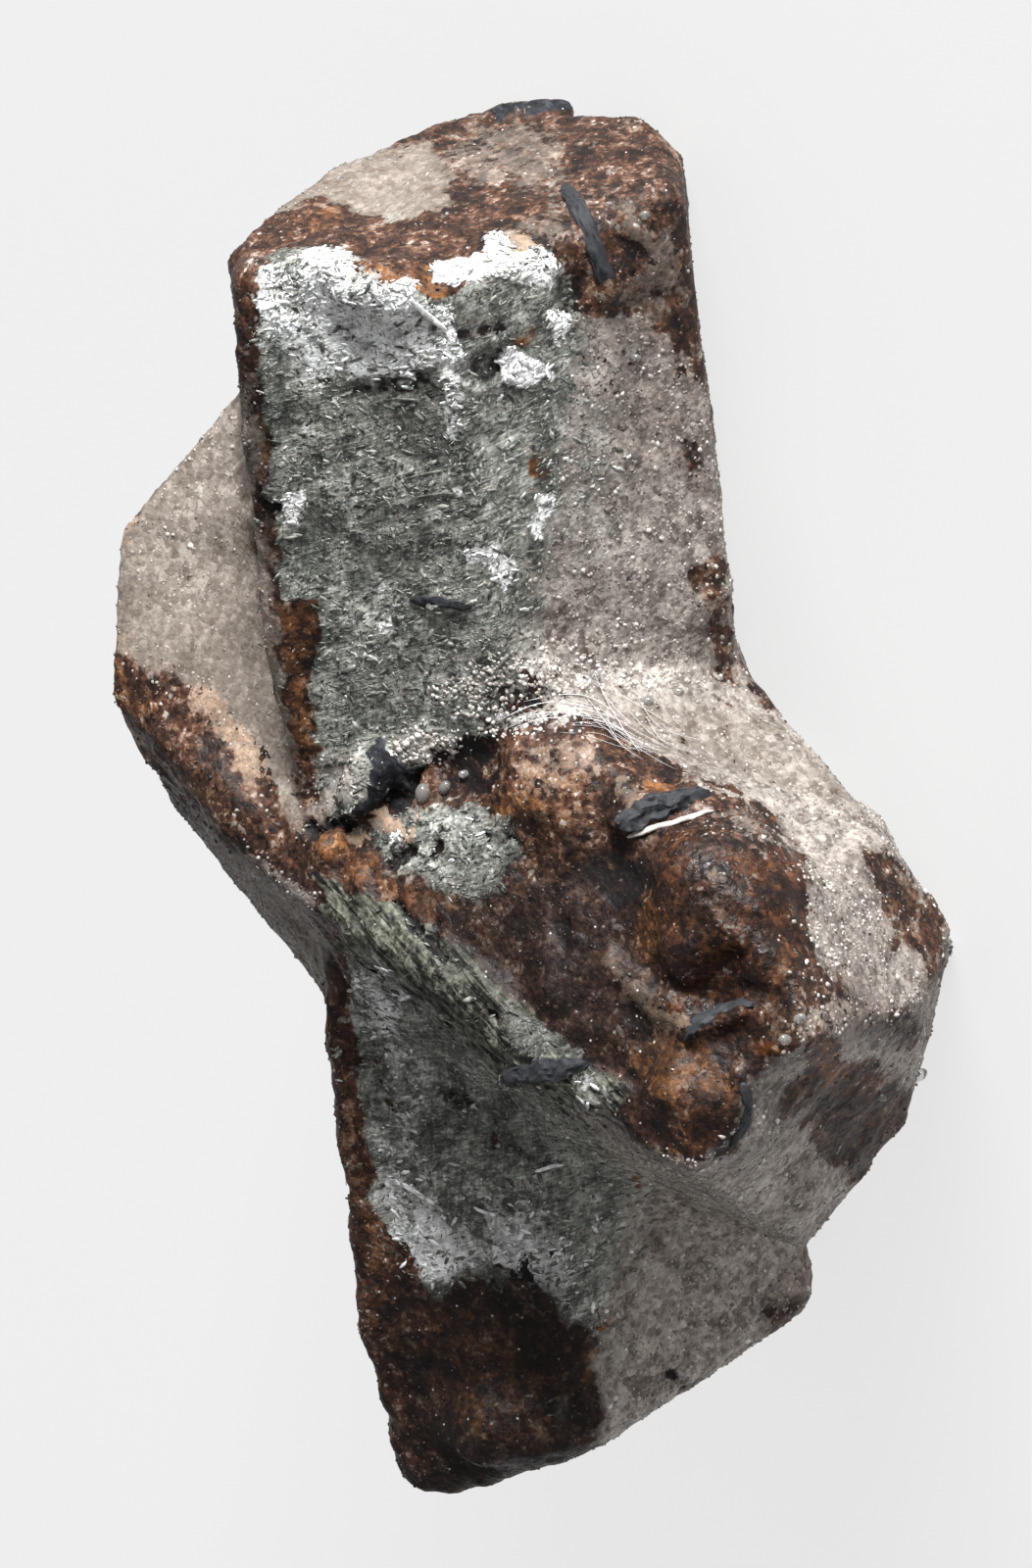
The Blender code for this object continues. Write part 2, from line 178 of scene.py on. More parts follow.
PATCHES = (
    # The upper arm: its front, its crown and its rims
    Patch("mica coat", "mica", (
        (238, 268), (300, 255), (352, 300), (455, 305), (560, 245), (592, 300), (578, 420), (562, 560),
        (556, 700), (520, 735), (430, 795), (345, 838), (305, 850), (272, 700), (258, 500), (246, 350)), 16),
    Patch("right face sand", "sand", (
        (600, 240), (700, 200), (716, 290), (724, 370), (748, 540), (756, 705), (560, 728), (548, 700),
        (570, 560), (590, 420), (606, 300)), 70),
    Patch("sand left of the ridge", "sand", (
        (520, 560), (570, 560), (570, 700), (520, 720), (500, 650)), 60, 0.42),
    Patch("mica right of the ridge", "mica", (
        (570, 330), (640, 360), (640, 480), (600, 600), (570, 560)), 70, 0.42),
    Patch("right face browns", "stone", (
        (600, 300), (700, 280), (716, 470), (660, 520), (610, 420)), 60, 0.33),
    Patch("crown brown", "stone", (
        (425, 170), (460, 120), (500, 92), (560, 86), (640, 100), (694, 145), (712, 250), (716, 340),
        (690, 350), (650, 320), (600, 320), (566, 250), (520, 235), (470, 262), (440, 210)), 18),
    Patch("crown left dust", "dust", (
        (236, 240), (300, 180), (420, 126), (440, 150), (345, 200), (300, 224), (250, 240)), 12, 0.8),
    Patch("crown edge brown", "stone", (
        (330, 205), (420, 130), (500, 94), (590, 92), (590, 116), (500, 120), (430, 150),
        (340, 200)), 12, 0.75),
    Patch("crown dust", "dust", (
        (440, 130), (560, 100), (690, 150), (700, 320), (600, 320), (560, 240), (440, 230)), 30, 0.2),
    Patch("crown cream", "dust", (
        (300, 222), (329, 192), (392, 158), (444, 148), (452, 180), (455, 212), (400, 222), (345, 224)), 26),
    Patch("crown cream right", "dust", (
        (454, 150), (480, 134), (530, 124), (572, 130), (574, 190), (520, 194), (470, 190)), 26, 0.36),
    Patch("crown cream spot", "cream", ((632, 118), (652, 118), (650, 136), (632, 134)), 8, 0.7),
    Patch("crown cream streak", "dust", (
        (490, 212), (570, 204), (576, 250), (540, 236), (500, 240)), 20, 0.36),
    Patch("crown brown band", "stone", (
        (452, 205), (500, 192), (560, 190), (560, 214), (500, 240), (455, 240)), 14, 0.8),
    Patch("crown grey right", "dust", (
        (628, 186), (660, 184), (692, 210), (704, 320), (650, 330), (640, 280)), 24, 0.36),
    Patch("crown slate", "slate", (
        (492, 104), (520, 96), (560, 94), (580, 100), (584, 114), (540, 118), (500, 118)), 8, 0.9),
    Patch("crown right brown", "stone", (
        (567, 120), (640, 108), (690, 150), (700, 232), (670, 240), (620, 200), (580, 180)), 18, 0.6),
    # Painted shade on the crown's right and back
    Patch("crown shade", "painted_shade", (
        (480, 100), (640, 100), (700, 160), (704, 240), (640, 230), (560, 210), (480, 140)), 40, 0.1),
    Patch("lip brown", "stone", (
        (225, 285), (228, 250), (250, 232), (298, 206), (330, 206), (400, 225), (500, 225), (500, 262),
        (455, 268), (455, 302), (400, 290), (345, 262), (300, 250), (268, 262), (262, 320), (232, 330)), 10),
    Patch("lip ochre", "rust", (
        (343, 262), (400, 270), (458, 280), (456, 304), (420, 298), (380, 284), (345, 274)), 10, 0.7),
    Patch("lip ochre left", "rust", ((290, 222), (330, 216), (372, 226), (330, 236)), 14, 0.5),
    Patch("left rim", "stone", (
        (228, 268), (254, 262), (264, 300), (268, 400), (273, 500), (290, 520), (282, 560), (284, 612),
        (322, 616), (322, 760), (332, 845), (312, 852), (298, 800), (282, 700), (268, 620), (258, 560),
        (250, 500), (242, 400), (234, 320)), 8, 0.95),
    Patch("rim rust", "rust", (
        (282, 618), (320, 618), (318, 720), (326, 800), (306, 800), (290, 720)), 14, 0.5),
    Patch("rim rust spot", "rust", ((252, 450), (266, 450), (266, 492), (254, 492)), 8, 0.7),
    Patch("rim notch", "dark", ((272, 500), (290, 512), (290, 534), (272, 536)), 6, 0.7, -0.06),
    # Painted shade along the left rim
    Patch("rim shade", "painted_shade", (
        (236, 330), (262, 330), (286, 520), (290, 610), (270, 610), (250, 500)), 10, 0.55),
    # Silver patches: pale mica, partly with glare painted in as white
    Patch("upper silver area", "silver", (
        (262, 275), (300, 270), (350, 262), (395, 285), (440, 300), (450, 345), (415, 385), (330, 388),
        (272, 350)), 36, 0.66),
    Patch("silver at the corner", "silver", (
        (258, 276), (280, 270), (296, 286), (294, 325), (276, 332), (262, 318)), 8, 1, 0.02),
    Patch("silver beside the corner", "silver", (
        (305, 280), (315, 262), (345, 264), (354, 284), (342, 296), (318, 292)), 7, 1, 0.03),
    Patch("silver between", "silver", ((306, 312), (346, 308), (350, 342), (318, 344)), 12, 0.9, 0.02),
    Patch("silver below the lip", "silver", (
        (380, 290), (420, 288), (456, 322), (458, 336), (440, 334), (424, 322), (392, 322)), 8, 0.95, 0.02),
    Patch("silver streak", "silver", (
        (438, 342), (468, 338), (474, 362), (452, 374), (426, 372), (430, 358), (444, 356)), 5, 1, 0.03),
    Patch("white leaf left", "silver", (
        (446, 272), (478, 266), (500, 276), (498, 288), (470, 288), (448, 284)), 5, 1, 0.03),
    Patch("white leaf right", "silver", (
        (492, 270), (498, 240), (518, 240), (522, 256), (548, 250), (566, 262), (562, 284), (530, 292),
        (504, 288)), 5, 1, 0.04),
    Patch("silver by the pit", "silver", (
        (512, 358), (530, 352), (564, 376), (560, 388), (536, 396), (516, 388)), 8, 1, 0.05),
    Patch("silver right leaf", "silver", ((556, 320), (580, 316), (586, 336), (564, 344)), 6, 1, 0.04),
    Patch("light band", "silver", (
        (447, 376), (474, 378), (476, 430), (466, 456), (452, 450), (450, 410)), 10, 0.55),
    Patch("light patch middle", "silver", (
        (478, 556), (500, 554), (530, 578), (528, 600), (508, 602), (490, 580)), 9, 0.6),
    Patch("light patch right", "silver", (
        (548, 510), (560, 508), (564, 530), (552, 554), (541, 540)), 6, 0.8),
    Patch("light spot left", "silver", (
        (282, 506), (310, 506), (314, 520), (300, 528), (290, 518)), 5, 0.8, 0.03),
    Patch("light spot low", "silver", ((388, 634), (404, 632), (406, 646), (390, 648)), 4),
    Patch("light spot middle", "silver", ((461, 497), (472, 497), (472, 509), (461, 509)), 4),
    Patch("grey block", "mica", ((524, 300), (556, 298), (558, 334), (528, 336)), 8, 1, 0.05),
    Patch("dark streak", "dark", (
        (354, 392), (388, 390), (388, 386), (446, 382), (446, 400), (390, 404), (356, 408)), 10, 0.60),
    Patch("dark smudge", "dark", (
        (402, 424), (430, 420), (458, 430), (458, 470), (420, 478), (392, 470)), 24, 0.42),
    Patch("dark scratches", "dark", (
        (388, 528), (424, 508), (462, 504), (462, 514), (420, 530), (394, 542)), 10, 0.50),
    Patch("dark low smudge", "dark", ((350, 560), (400, 556), (400, 590), (356, 586)), 20, 0.36),
    Patch("dark mottles", "dark", ((458, 300), (520, 300), (524, 345), (462, 352)), 20, 0.45),
    Patch("dark line in the mottles", "dark", ((466, 342), (512, 322), (514, 334), (470, 352)), 6, 0.6),
    Patch("pit", "dark", (
        (486, 362), (500, 356), (514, 358), (516, 382), (500, 390), (486, 384)), 5, 0.55, -0.04),
    Patch("pit ochre edge", "rust", ((516, 344), (545, 336), (550, 344), (518, 352)), 4, 0.8, 0.03),
    Patch("rust by the ridge", "rust", ((536, 464), (550, 466), (548, 482), (538, 480)), 6, 0.9),
    Patch("ochre by the ridge", "rust", (
        (540, 452), (560, 452), (566, 490), (570, 506), (550, 500)), 14, 0.42),
    Patch("dark chip", "dark", ((566, 282), (590, 280), (594, 318), (570, 320)), 8, 0.6, -0.05),
    Patch("black chips", "dark", ((626, 238), (660, 246), (662, 274), (630, 270)), 12, 0.6, -0.05),
    Patch("right edge brown", "stone", ((700, 575), (735, 560), (756, 700), (728, 706), (716, 640)), 16, 0.8),
    Patch("right edge brown high", "stone", ((672, 300), (716, 300), (726, 400), (700, 400)), 22, 0.55),
    Patch("right edge brown spots", "stone", ((690, 450), (716, 450), (722, 500), (700, 510)), 22, 0.55),
    # The tail of the second prism
    Patch("tail beige", "dust", (
        (190, 400), (258, 390), (262, 520), (280, 640), (300, 780), (318, 860), (296, 860), (262, 760),
        (214, 700), (150, 700), (100, 620), (104, 580), (140, 520)), 30, 0.85),
    Patch("tail sand", "sand", ((190, 420), (250, 400), (262, 560), (200, 640), (130, 600)), 60, 0.3),
    Patch("tail purple", "slate", ((108, 584), (140, 580), (145, 630), (112, 640)), 24, 0.33),
    Patch("tail brown band", "stone", (
        (88, 648), (130, 672), (175, 690), (215, 745), (262, 800), (318, 860), (330, 905), (300, 905),
        (258, 868), (200, 838), (150, 790), (104, 745), (88, 700)), 34, 0.95),
    Patch("tail orange tip", "rust", ((94, 660), (136, 690), (160, 720), (130, 745), (100, 720)), 22, 0.40),
    Patch("tail grey foot", "sand", (
        (140, 790), (200, 845), (262, 880), (318, 915), (330, 985), (310, 1010), (270, 955), (205, 897),
        (165, 850)), 20, 0.85),
    # Painted shade at the foot of the tail
    Patch("tail foot shade", "painted_shade", ((140, 780), (330, 905), (330, 1000), (200, 900)), 40, 0.35),
    # The head of the second prism, with its knob and the junction
    Patch("head stone", "stone", (
        (316, 862), (370, 835), (480, 748), (560, 738), (640, 742), (700, 790), (770, 812), (826, 880),
        (830, 960), (808, 1050), (760, 1110), (752, 1168), (705, 1192), (650, 1165), (600, 1100), (540, 1060),
        (460, 1000), (400, 945), (340, 900)), 12),
    # Painted shade over the head
    Patch("head shade", "painted_shade", (
        (400, 900), (520, 860), (660, 850), (760, 850), (820, 900), (812, 1040), (750, 1170), (700, 1190),
        (640, 1160), (560, 1080), (450, 985)), 40, 0.4),
    # Painted shade over the dark band
    Patch("band shade", "painted_shade", (
        (430, 930), (560, 900), (640, 940), (680, 1050), (640, 1100), (560, 1060), (470, 990)), 50, 0.55),
    Patch("grain seam", "quartz", (
        (430, 700), (500, 672), (560, 668), (640, 672), (735, 690), (748, 716), (640, 738), (560, 744),
        (500, 752)), 24, 0.36),
    Patch("grain seam dark", "dark", (
        (440, 750), (510, 700), (560, 692), (640, 694), (630, 712), (560, 722), (500, 746)), 20, 0.40),
    Patch("sugary quartz", "quartz", (
        (396, 748), (440, 742), (478, 752), (470, 778), (430, 782), (400, 770)), 12, 0.5, 0.04),
    Patch("brown under the rim", "sand", (
        (314, 770), (368, 764), (372, 800), (350, 832), (318, 838)), 20, 0.6),
    Patch("dark quartz pocket", "dark", (
        (440, 770), (470, 752), (512, 750), (512, 800), (480, 818), (440, 816)), 14, 0.7, -0.08),
    Patch("black crack", "dark", (
        (386, 832), (394, 816), (412, 800), (424, 786), (432, 788), (428, 802), (420, 826),
        (400, 832)), 4, 1, -0.18),
    Patch("slate plate", "slate", (
        (378, 752), (404, 772), (424, 791), (396, 812), (361, 834), (357, 822), (373, 796)), 4, 1, 0.08),
    Patch("dark groove at the plate", "dark", (
        (312, 838), (330, 836), (356, 832), (360, 842), (330, 850), (312, 856)), 5, 0.9, -0.12),
    Patch("sandy bump", "cream", (
        (530, 760), (620, 752), (646, 800), (600, 830), (520, 836), (500, 810)), 40, 0.44),
    Patch("bump specks", "rust", ((490, 790), (560, 780), (620, 800), (600, 840), (520, 850)), 36, 0.33),
    Patch("bump ochre", "rust", ((500, 820), (540, 812), (560, 828), (530, 842), (500, 838)), 12, 0.42),
    Patch("bump right edge", "stone", ((612, 760), (654, 800), (668, 860), (640, 880), (604, 830)), 16, 0.9),
    # Painted shade on the right of the sandy bump
    Patch("bump right shade", "painted_shade", ((612, 770), (650, 800), (668, 860), (610, 840)), 20, 0.45),
    Patch("cream leaves by the lath", "cream", (
        (622, 788), (636, 786), (658, 822), (644, 830), (628, 808)), 12, 0.6),
    Patch("orange by the lath", "rust", (
        (654, 796), (686, 796), (690, 812), (664, 818), (656, 812)), 7, 0.95, 0.02),
    Patch("head mica", "mica", (
        (381, 842), (420, 830), (470, 824), (520, 838), (530, 870), (500, 912), (460, 916), (430, 900),
        (396, 888), (384, 866)), 22, 0.9, 0.02),
    Patch("head mica bright", "silver", (
        (420, 836), (480, 832), (510, 850), (490, 880), (440, 872), (420, 856)), 16, 0.18),
    Patch("head mica crevice", "dark", (
        (392, 876), (414, 862), (424, 858), (426, 876), (404, 890), (390, 890)), 7, 0.75, -0.10),
    Patch("head mica crevice two", "dark", ((436, 862), (452, 858), (452, 874), (438, 880)), 6, 0.8, -0.09),
    Patch("head mica crevice three", "dark", ((490, 846), (530, 850), (528, 858), (494, 856)), 6, 0.6, -0.06),
    Patch("cream leaves", "cream", (
        (378, 828), (384, 826), (414, 848), (430, 832), (432, 838), (412, 856), (388, 850)), 4, 1, 0.08),
    Patch("white leaf", "silver", ((396, 852), (414, 852), (412, 862), (398, 862)), 3, 1, 0.05),
    Patch("ochre lump left", "rust", (
        (322, 850), (340, 842), (354, 848), (356, 868), (336, 874), (322, 866)), 7, 0.7, 0.08),
    Patch("cream lump", "cream", ((354, 844), (372, 842), (380, 856), (370, 866), (356, 862)), 6, 0.8, 0.08),
    Patch("ochre lump right", "rust", (
        (352, 870), (386, 872), (394, 892), (368, 900), (354, 888)), 9, 0.5, 0.06),
    Patch("ochre ledge", "rust", (
        (384, 896), (420, 904), (466, 916), (470, 936), (430, 940), (392, 916)), 14, 0.42),
    Patch("junction schist", "schist", (
        (318, 884), (350, 900), (390, 918), (440, 945), (500, 1000), (550, 1046), (610, 1085), (640, 1120),
        (620, 1150), (560, 1120), (500, 1085), (420, 1010), (352, 968), (334, 930)), 12, 1, 0.03),
    # Painted shade over the schist at the junction
    Patch("schist shade", "painted_shade", (
        (330, 890), (400, 930), (500, 1020), (560, 1060), (520, 1080), (400, 990), (340, 940)), 24, 0.34),
    Patch("schist crack one", "dark", (
        (396, 922), (402, 920), (432, 948), (446, 966), (438, 966), (414, 944)), 4, 0.9, -0.12),
    Patch("schist crack two", "dark", (
        (434, 938), (440, 936), (452, 972), (466, 990), (458, 990), (442, 968)), 4, 0.9, -0.12),
    Patch("schist crack three", "dark", (
        (496, 1026), (508, 1030), (520, 1046), (510, 1048), (498, 1036)), 4, 0.9, -0.10),
    Patch("fine green patch", "mica", (
        (506, 1040), (560, 1044), (596, 1068), (590, 1082), (530, 1076)), 10, 0.8, 0.03),
    Patch("junction white flakes", "silver", (
        (582, 1100), (604, 1098), (624, 1118), (606, 1136), (590, 1122)), 10, 0.42, 0.03),
    Patch("lobe dark flake", "dark", (
        (596, 1132), (640, 1140), (650, 1160), (620, 1158), (600, 1146)), 6, 0.85, -0.05),
    Patch("black hollow", "dark", (
        (580, 880), (600, 872), (650, 876), (664, 900), (652, 930), (620, 926), (590, 912)), 30, 0.62, -0.08),
    Patch("blue pit", "dark", ((562, 936), (582, 934), (584, 968), (566, 972)), 12, 0.75, -0.07),
    Patch("blue pit edge", "slate", ((540, 950), (566, 960), (600, 985), (590, 1000), (555, 985)), 18, 0.38),
    Patch("smooth knob", "resin", (
        (672, 850), (690, 826), (740, 812), (790, 832), (822, 872), (830, 925), (822, 980), (808, 1034),
        (780, 1060), (740, 1050), (690, 1030), (668, 990), (664, 930), (668, 880)), 14),
    Patch("knob purple top", "stone", ((690, 830), (740, 816), (786, 836), (780, 870), (712, 880)), 26, 0.50),
    Patch("knob dust", "sand", ((690, 826), (750, 816), (806, 850), (800, 880), (740, 850)), 30, 0.34),
    Patch("knob ledge", "cream", ((716, 892), (744, 886), (752, 900), (720, 908)), 12, 0.42, 0.02),
    Patch("knob curl", "rust", (
        (650, 926), (690, 915), (720, 930), (690, 958), (666, 985), (650, 962)), 12, 0.5, 0.04),
    Patch("knob dark side", "dark", ((600, 880), (670, 862), (700, 890), (660, 925), (610, 930)), 40, 0.36),
    Patch("knob hollow", "dark", (
        (680, 962), (720, 950), (784, 966), (790, 1004), (760, 1016), (720, 1006),
        (684, 1000)), 52, 0.25, 0.3),
    Patch("knob hollow edge", "dark", ((676, 1000), (692, 968), (716, 962), (704, 980), (690, 1012)), 6, 0.4),
    Patch("knob ochre foot", "rust", (
        (784, 966), (800, 962), (806, 1020), (790, 1036), (782, 1000)), 14, 0.45),
    Patch("pale curved ridge", "cream", (
        (616, 956), (624, 962), (634, 985), (660, 1012), (704, 1034), (712, 1050), (680, 1046), (640, 1020),
        (620, 988)), 8, 0.5, 0.05),
    Patch("pale ridge foot", "cream", ((660, 1030), (700, 1044), (696, 1076), (666, 1066)), 18, 0.36),
    Patch("orange spot one", "amber", (
        (770, 1066), (800, 1062), (806, 1082), (786, 1090), (770, 1080)), 9, 0.8, 0.03),
    Patch("orange spot two", "amber", ((826, 1054), (858, 1058), (862, 1076), (836, 1076)), 10, 0.75, 0.03),
    Patch("lobe ochre", "rust", (
        (640, 1060), (680, 1052), (756, 1088), (752, 1130), (700, 1146), (650, 1120)), 20, 0.55),
    Patch("lobe resin", "resin", ((672, 1130), (730, 1120), (748, 1165), (704, 1192), (664, 1172)), 14, 0.7),
    # The top and the end of the head
    Patch("head top sand", "sand", (
        (560, 722), (640, 700), (748, 700), (800, 736), (884, 800), (946, 900), (940, 960), (900, 960),
        (830, 960), (824, 870), (772, 812), (700, 790), (640, 745)), 16),
    Patch("head top cream", "dust", (
        (600, 722), (700, 708), (760, 716), (880, 806), (840, 830), (740, 790), (660, 770)), 36, 0.6),
    # Painted shade, faint, over the top of the head
    Patch("head top shade", "painted_shade", (
        (560, 700), (740, 690), (880, 790), (950, 900), (940, 1060), (830, 1080), (820, 880),
        (700, 790)), 30, 0.12),
    Patch("head sparkling sand", "quartz", (
        (826, 870), (880, 850), (930, 900), (938, 1000), (880, 1070), (812, 1056)), 44, 0.22),
    Patch("sparkling dark specks", "stone", (
        (826, 870), (880, 850), (930, 900), (938, 1000), (880, 1060), (812, 1040)), 50, 0.30),
    Patch("head end sand", "sand", (
        (808, 1040), (880, 1000), (940, 960), (962, 1010), (960, 1060), (930, 1110), (890, 1080), (850, 1090),
        (800, 1110), (760, 1190), (706, 1196), (752, 1168), (766, 1108), (790, 1080)), 16),
    Patch("right edge brown band", "stone", (
        (880, 860), (905, 862), (934, 900), (962, 960), (966, 1010), (940, 1010), (920, 950),
        (886, 890)), 20, 0.75),
    Patch("right brown smudge", "stone", (
        (908, 1030), (936, 1020), (946, 1060), (924, 1076), (906, 1056)), 20, 0.7),
    Patch("brown tip", "stone", (
        (950, 1045), (972, 1044), (986, 1080), (974, 1110), (950, 1140), (938, 1110), (954, 1080)), 12, 0.95),
    Patch("end brown", "stone", (
        (820, 1062), (846, 1048), (868, 1086), (896, 1106), (940, 1116), (956, 1130), (940, 1160),
        (926, 1178), (896, 1208), (866, 1200), (842, 1192), (824, 1160), (815, 1115)), 14),
    Patch("end ochre", "rust", ((824, 1062), (848, 1052), (866, 1090), (862, 1110), (836, 1104)), 16, 0.55),
    # Painted shade on the head's end
    Patch("end shade", "painted_shade", (
        (820, 1090), (870, 1100), (940, 1120), (930, 1180), (890, 1210), (840, 1190)), 24, 0.3),
    # Painted shade in the recess by the lobe
    Patch("shade painted in the lobe's recess", "painted_shade", (
        (760, 1090), (812, 1070), (826, 1150), (790, 1180), (756, 1170)), 24, 0.2),
    Patch("speckled quartz", "cream", (
        (770, 1040), (830, 1000), (900, 1010), (906, 1070), (850, 1050), (800, 1080)), 30, 0.34),
    Patch("speckled browns", "stone", (
        (790, 1010), (850, 990), (912, 1000), (912, 1080), (850, 1060), (800, 1084)), 30, 0.38),
    Patch("end dark flakes", "dark", (
        (820, 1120), (860, 1136), (872, 1160), (850, 1200), (836, 1160)), 12, 0.5),
    Patch("end green flakes", "schist", ((824, 1140), (872, 1150), (876, 1182), (838, 1182)), 12, 0.3, 0.03),
    Patch("beneath the end", "sand", (
        (740, 1196), (800, 1140), (830, 1180), (862, 1214), (832, 1256), (790, 1262)), 16, 0.9),
    # The lower arm and its foot
    Patch("lower mica", "mica", (
        (352, 968), (420, 1010), (500, 1085), (560, 1120), (604, 1150), (640, 1200), (628, 1290), (604, 1370),
        (560, 1345), (540, 1310), (470, 1305), (430, 1322), (418, 1290), (384, 1280), (374, 1170),
        (362, 1060)), 18),
    Patch("light mica strip", "silver", (
        (372, 1000), (410, 1030), (430, 1130), (440, 1220), (480, 1300), (430, 1320), (396, 1250),
        (376, 1120)), 40, 0.36),
    Patch("light mica middle", "silver", (
        (470, 1210), (560, 1220), (590, 1300), (550, 1330), (480, 1290)), 50, 0.36),
    Patch("light crust one", "silver", ((352, 985), (395, 982), (404, 1050), (360, 1060)), 16, 0.34),
    Patch("light crust two", "silver", (
        (384, 1194), (415, 1196), (440, 1236), (478, 1250), (478, 1306), (430, 1310), (400, 1260)), 14, 0.38),
    Patch("light crust three", "silver", (
        (489, 1247), (553, 1250), (627, 1290), (610, 1353), (560, 1335), (500, 1290)), 18, 0.28),
    Patch("brown gap", "stone", ((372, 1240), (400, 1250), (425, 1290), (400, 1310), (380, 1290)), 10, 0.7),
    Patch("dark gap", "dark", ((431, 1056), (468, 1060), (480, 1120), (450, 1130)), 20, 0.42),
    Patch("lower right sand", "sand", (
        (604, 1130), (650, 1170), (705, 1196), (760, 1196), (830, 1256), (834, 1310), (830, 1350),
        (770, 1400), (690, 1440), (612, 1492), (604, 1440), (606, 1370), (626, 1290), (630, 1200)), 50),
    Patch("lower sand into mica", "sand", (
        (540, 1100), (604, 1140), (630, 1230), (610, 1330), (570, 1250)), 60, 0.42),
    Patch("lower mica into sand", "mica", ((600, 1180), (660, 1200), (650, 1290), (600, 1350)), 50, 0.38),
    Patch("flake light one", "silver", ((380, 976), (398, 978), (400, 990), (384, 992)), 4, 0.3, 0.04),
    Patch("flake light two", "silver", ((402, 1014), (418, 1012), (422, 1026), (406, 1030)), 5, 0.7, 0.03),
    Patch("flake light three", "silver", (
        (410, 1208), (438, 1206), (450, 1232), (430, 1234), (412, 1222)), 5, 0.3, 0.06),
    Patch("flake light four", "silver", ((548, 1188), (574, 1184), (574, 1196), (552, 1198)), 5, 0.3, 0.04),
    Patch("flake light five", "silver", ((488, 1230), (508, 1230), (508, 1242), (490, 1240)), 4, 0.2, 0.03),
    Patch("lower dark mottles", "dark", (
        (447, 1112), (520, 1105), (560, 1150), (553, 1204), (500, 1190), (455, 1160)), 30, 0.5),
    Patch("lower dark mottles two", "dark", ((370, 1070), (400, 1080), (404, 1130), (376, 1130)), 24, 0.42),
    Patch("lower dark edge", "dark", (
        (512, 1296), (540, 1280), (556, 1310), (548, 1330), (520, 1316)), 12, 0.6),
    Patch("foot brown", "stone", (
        (388, 1290), (424, 1300), (440, 1322), (470, 1308), (540, 1312), (580, 1350), (608, 1368),
        (606, 1440), (604, 1500), (560, 1550), (480, 1562), (420, 1520), (395, 1440)), 22),
    # Painted shade over the foot
    Patch("foot shade", "painted_shade", (
        (380, 1310), (560, 1300), (610, 1370), (606, 1500), (520, 1560), (430, 1540)), 50, 0.72),
    Patch("foot ochre", "rust", (
        (410, 1330), (450, 1320), (520, 1360), (570, 1420), (560, 1480), (470, 1470), (420, 1400)), 30, 0.42),
    Patch("foot rust edge", "rust", ((596, 1374), (608, 1378), (606, 1430), (596, 1424)), 8, 0.5),
    Patch("foot grey spot", "slate", ((414, 1388), (446, 1382), (450, 1404), (422, 1408)), 9, 0.7),
    Patch("foot pale spot", "mica", ((540, 1418), (590, 1420), (580, 1450), (546, 1448)), 14, 0.25),
    Patch("lower left rim", "stone", (
        (338, 960), (352, 968), (362, 1060), (374, 1170), (386, 1290), (400, 1440), (420, 1520), (404, 1500),
        (384, 1440), (366, 1290), (350, 1120), (340, 1020)), 8),
    Patch("lower rim ochre", "rust", (
        (366, 1240), (386, 1250), (402, 1340), (408, 1380), (388, 1360), (374, 1290)), 12, 0.36),
    Patch("dark speck", "dark", ((680, 1396), (698, 1396), (700, 1414), (684, 1416)), 5, 1, -0.05),
    # A painted shadow: the dark band where the underside of the bottom edge lies in shade
    Patch("painted shadow under the bottom edge", "dark", (
        (604, 1500), (640, 1462), (690, 1432), (770, 1394), (806, 1378), (812, 1396), (770, 1412),
        (690, 1460), (612, 1510)), 12, 0.8),
    Patch("corner purple", "stone", (
        (784, 1300), (826, 1262), (840, 1310), (838, 1352), (800, 1396), (778, 1370)), 18, 0.8),
    Patch("corner dust", "sand", ((780, 1290), (826, 1270), (834, 1330), (800, 1350)), 24, 0.45),
    Patch("ochre speck", "rust", ((638, 1200), (648, 1200), (648, 1212), (638, 1212)), 3, 1),
    Patch("ochre speck low", "rust", ((612, 1344), (626, 1340), (624, 1358), (614, 1360)), 5, 0.8),
)


class Blade(NamedTuple):
    """A lath, sliver or hair laid along pixels of the picture: its width, thickness and height in mm."""

    name: str
    finish: str
    path: tuple
    width: float
    thickness: float
    lift: float = 0.0


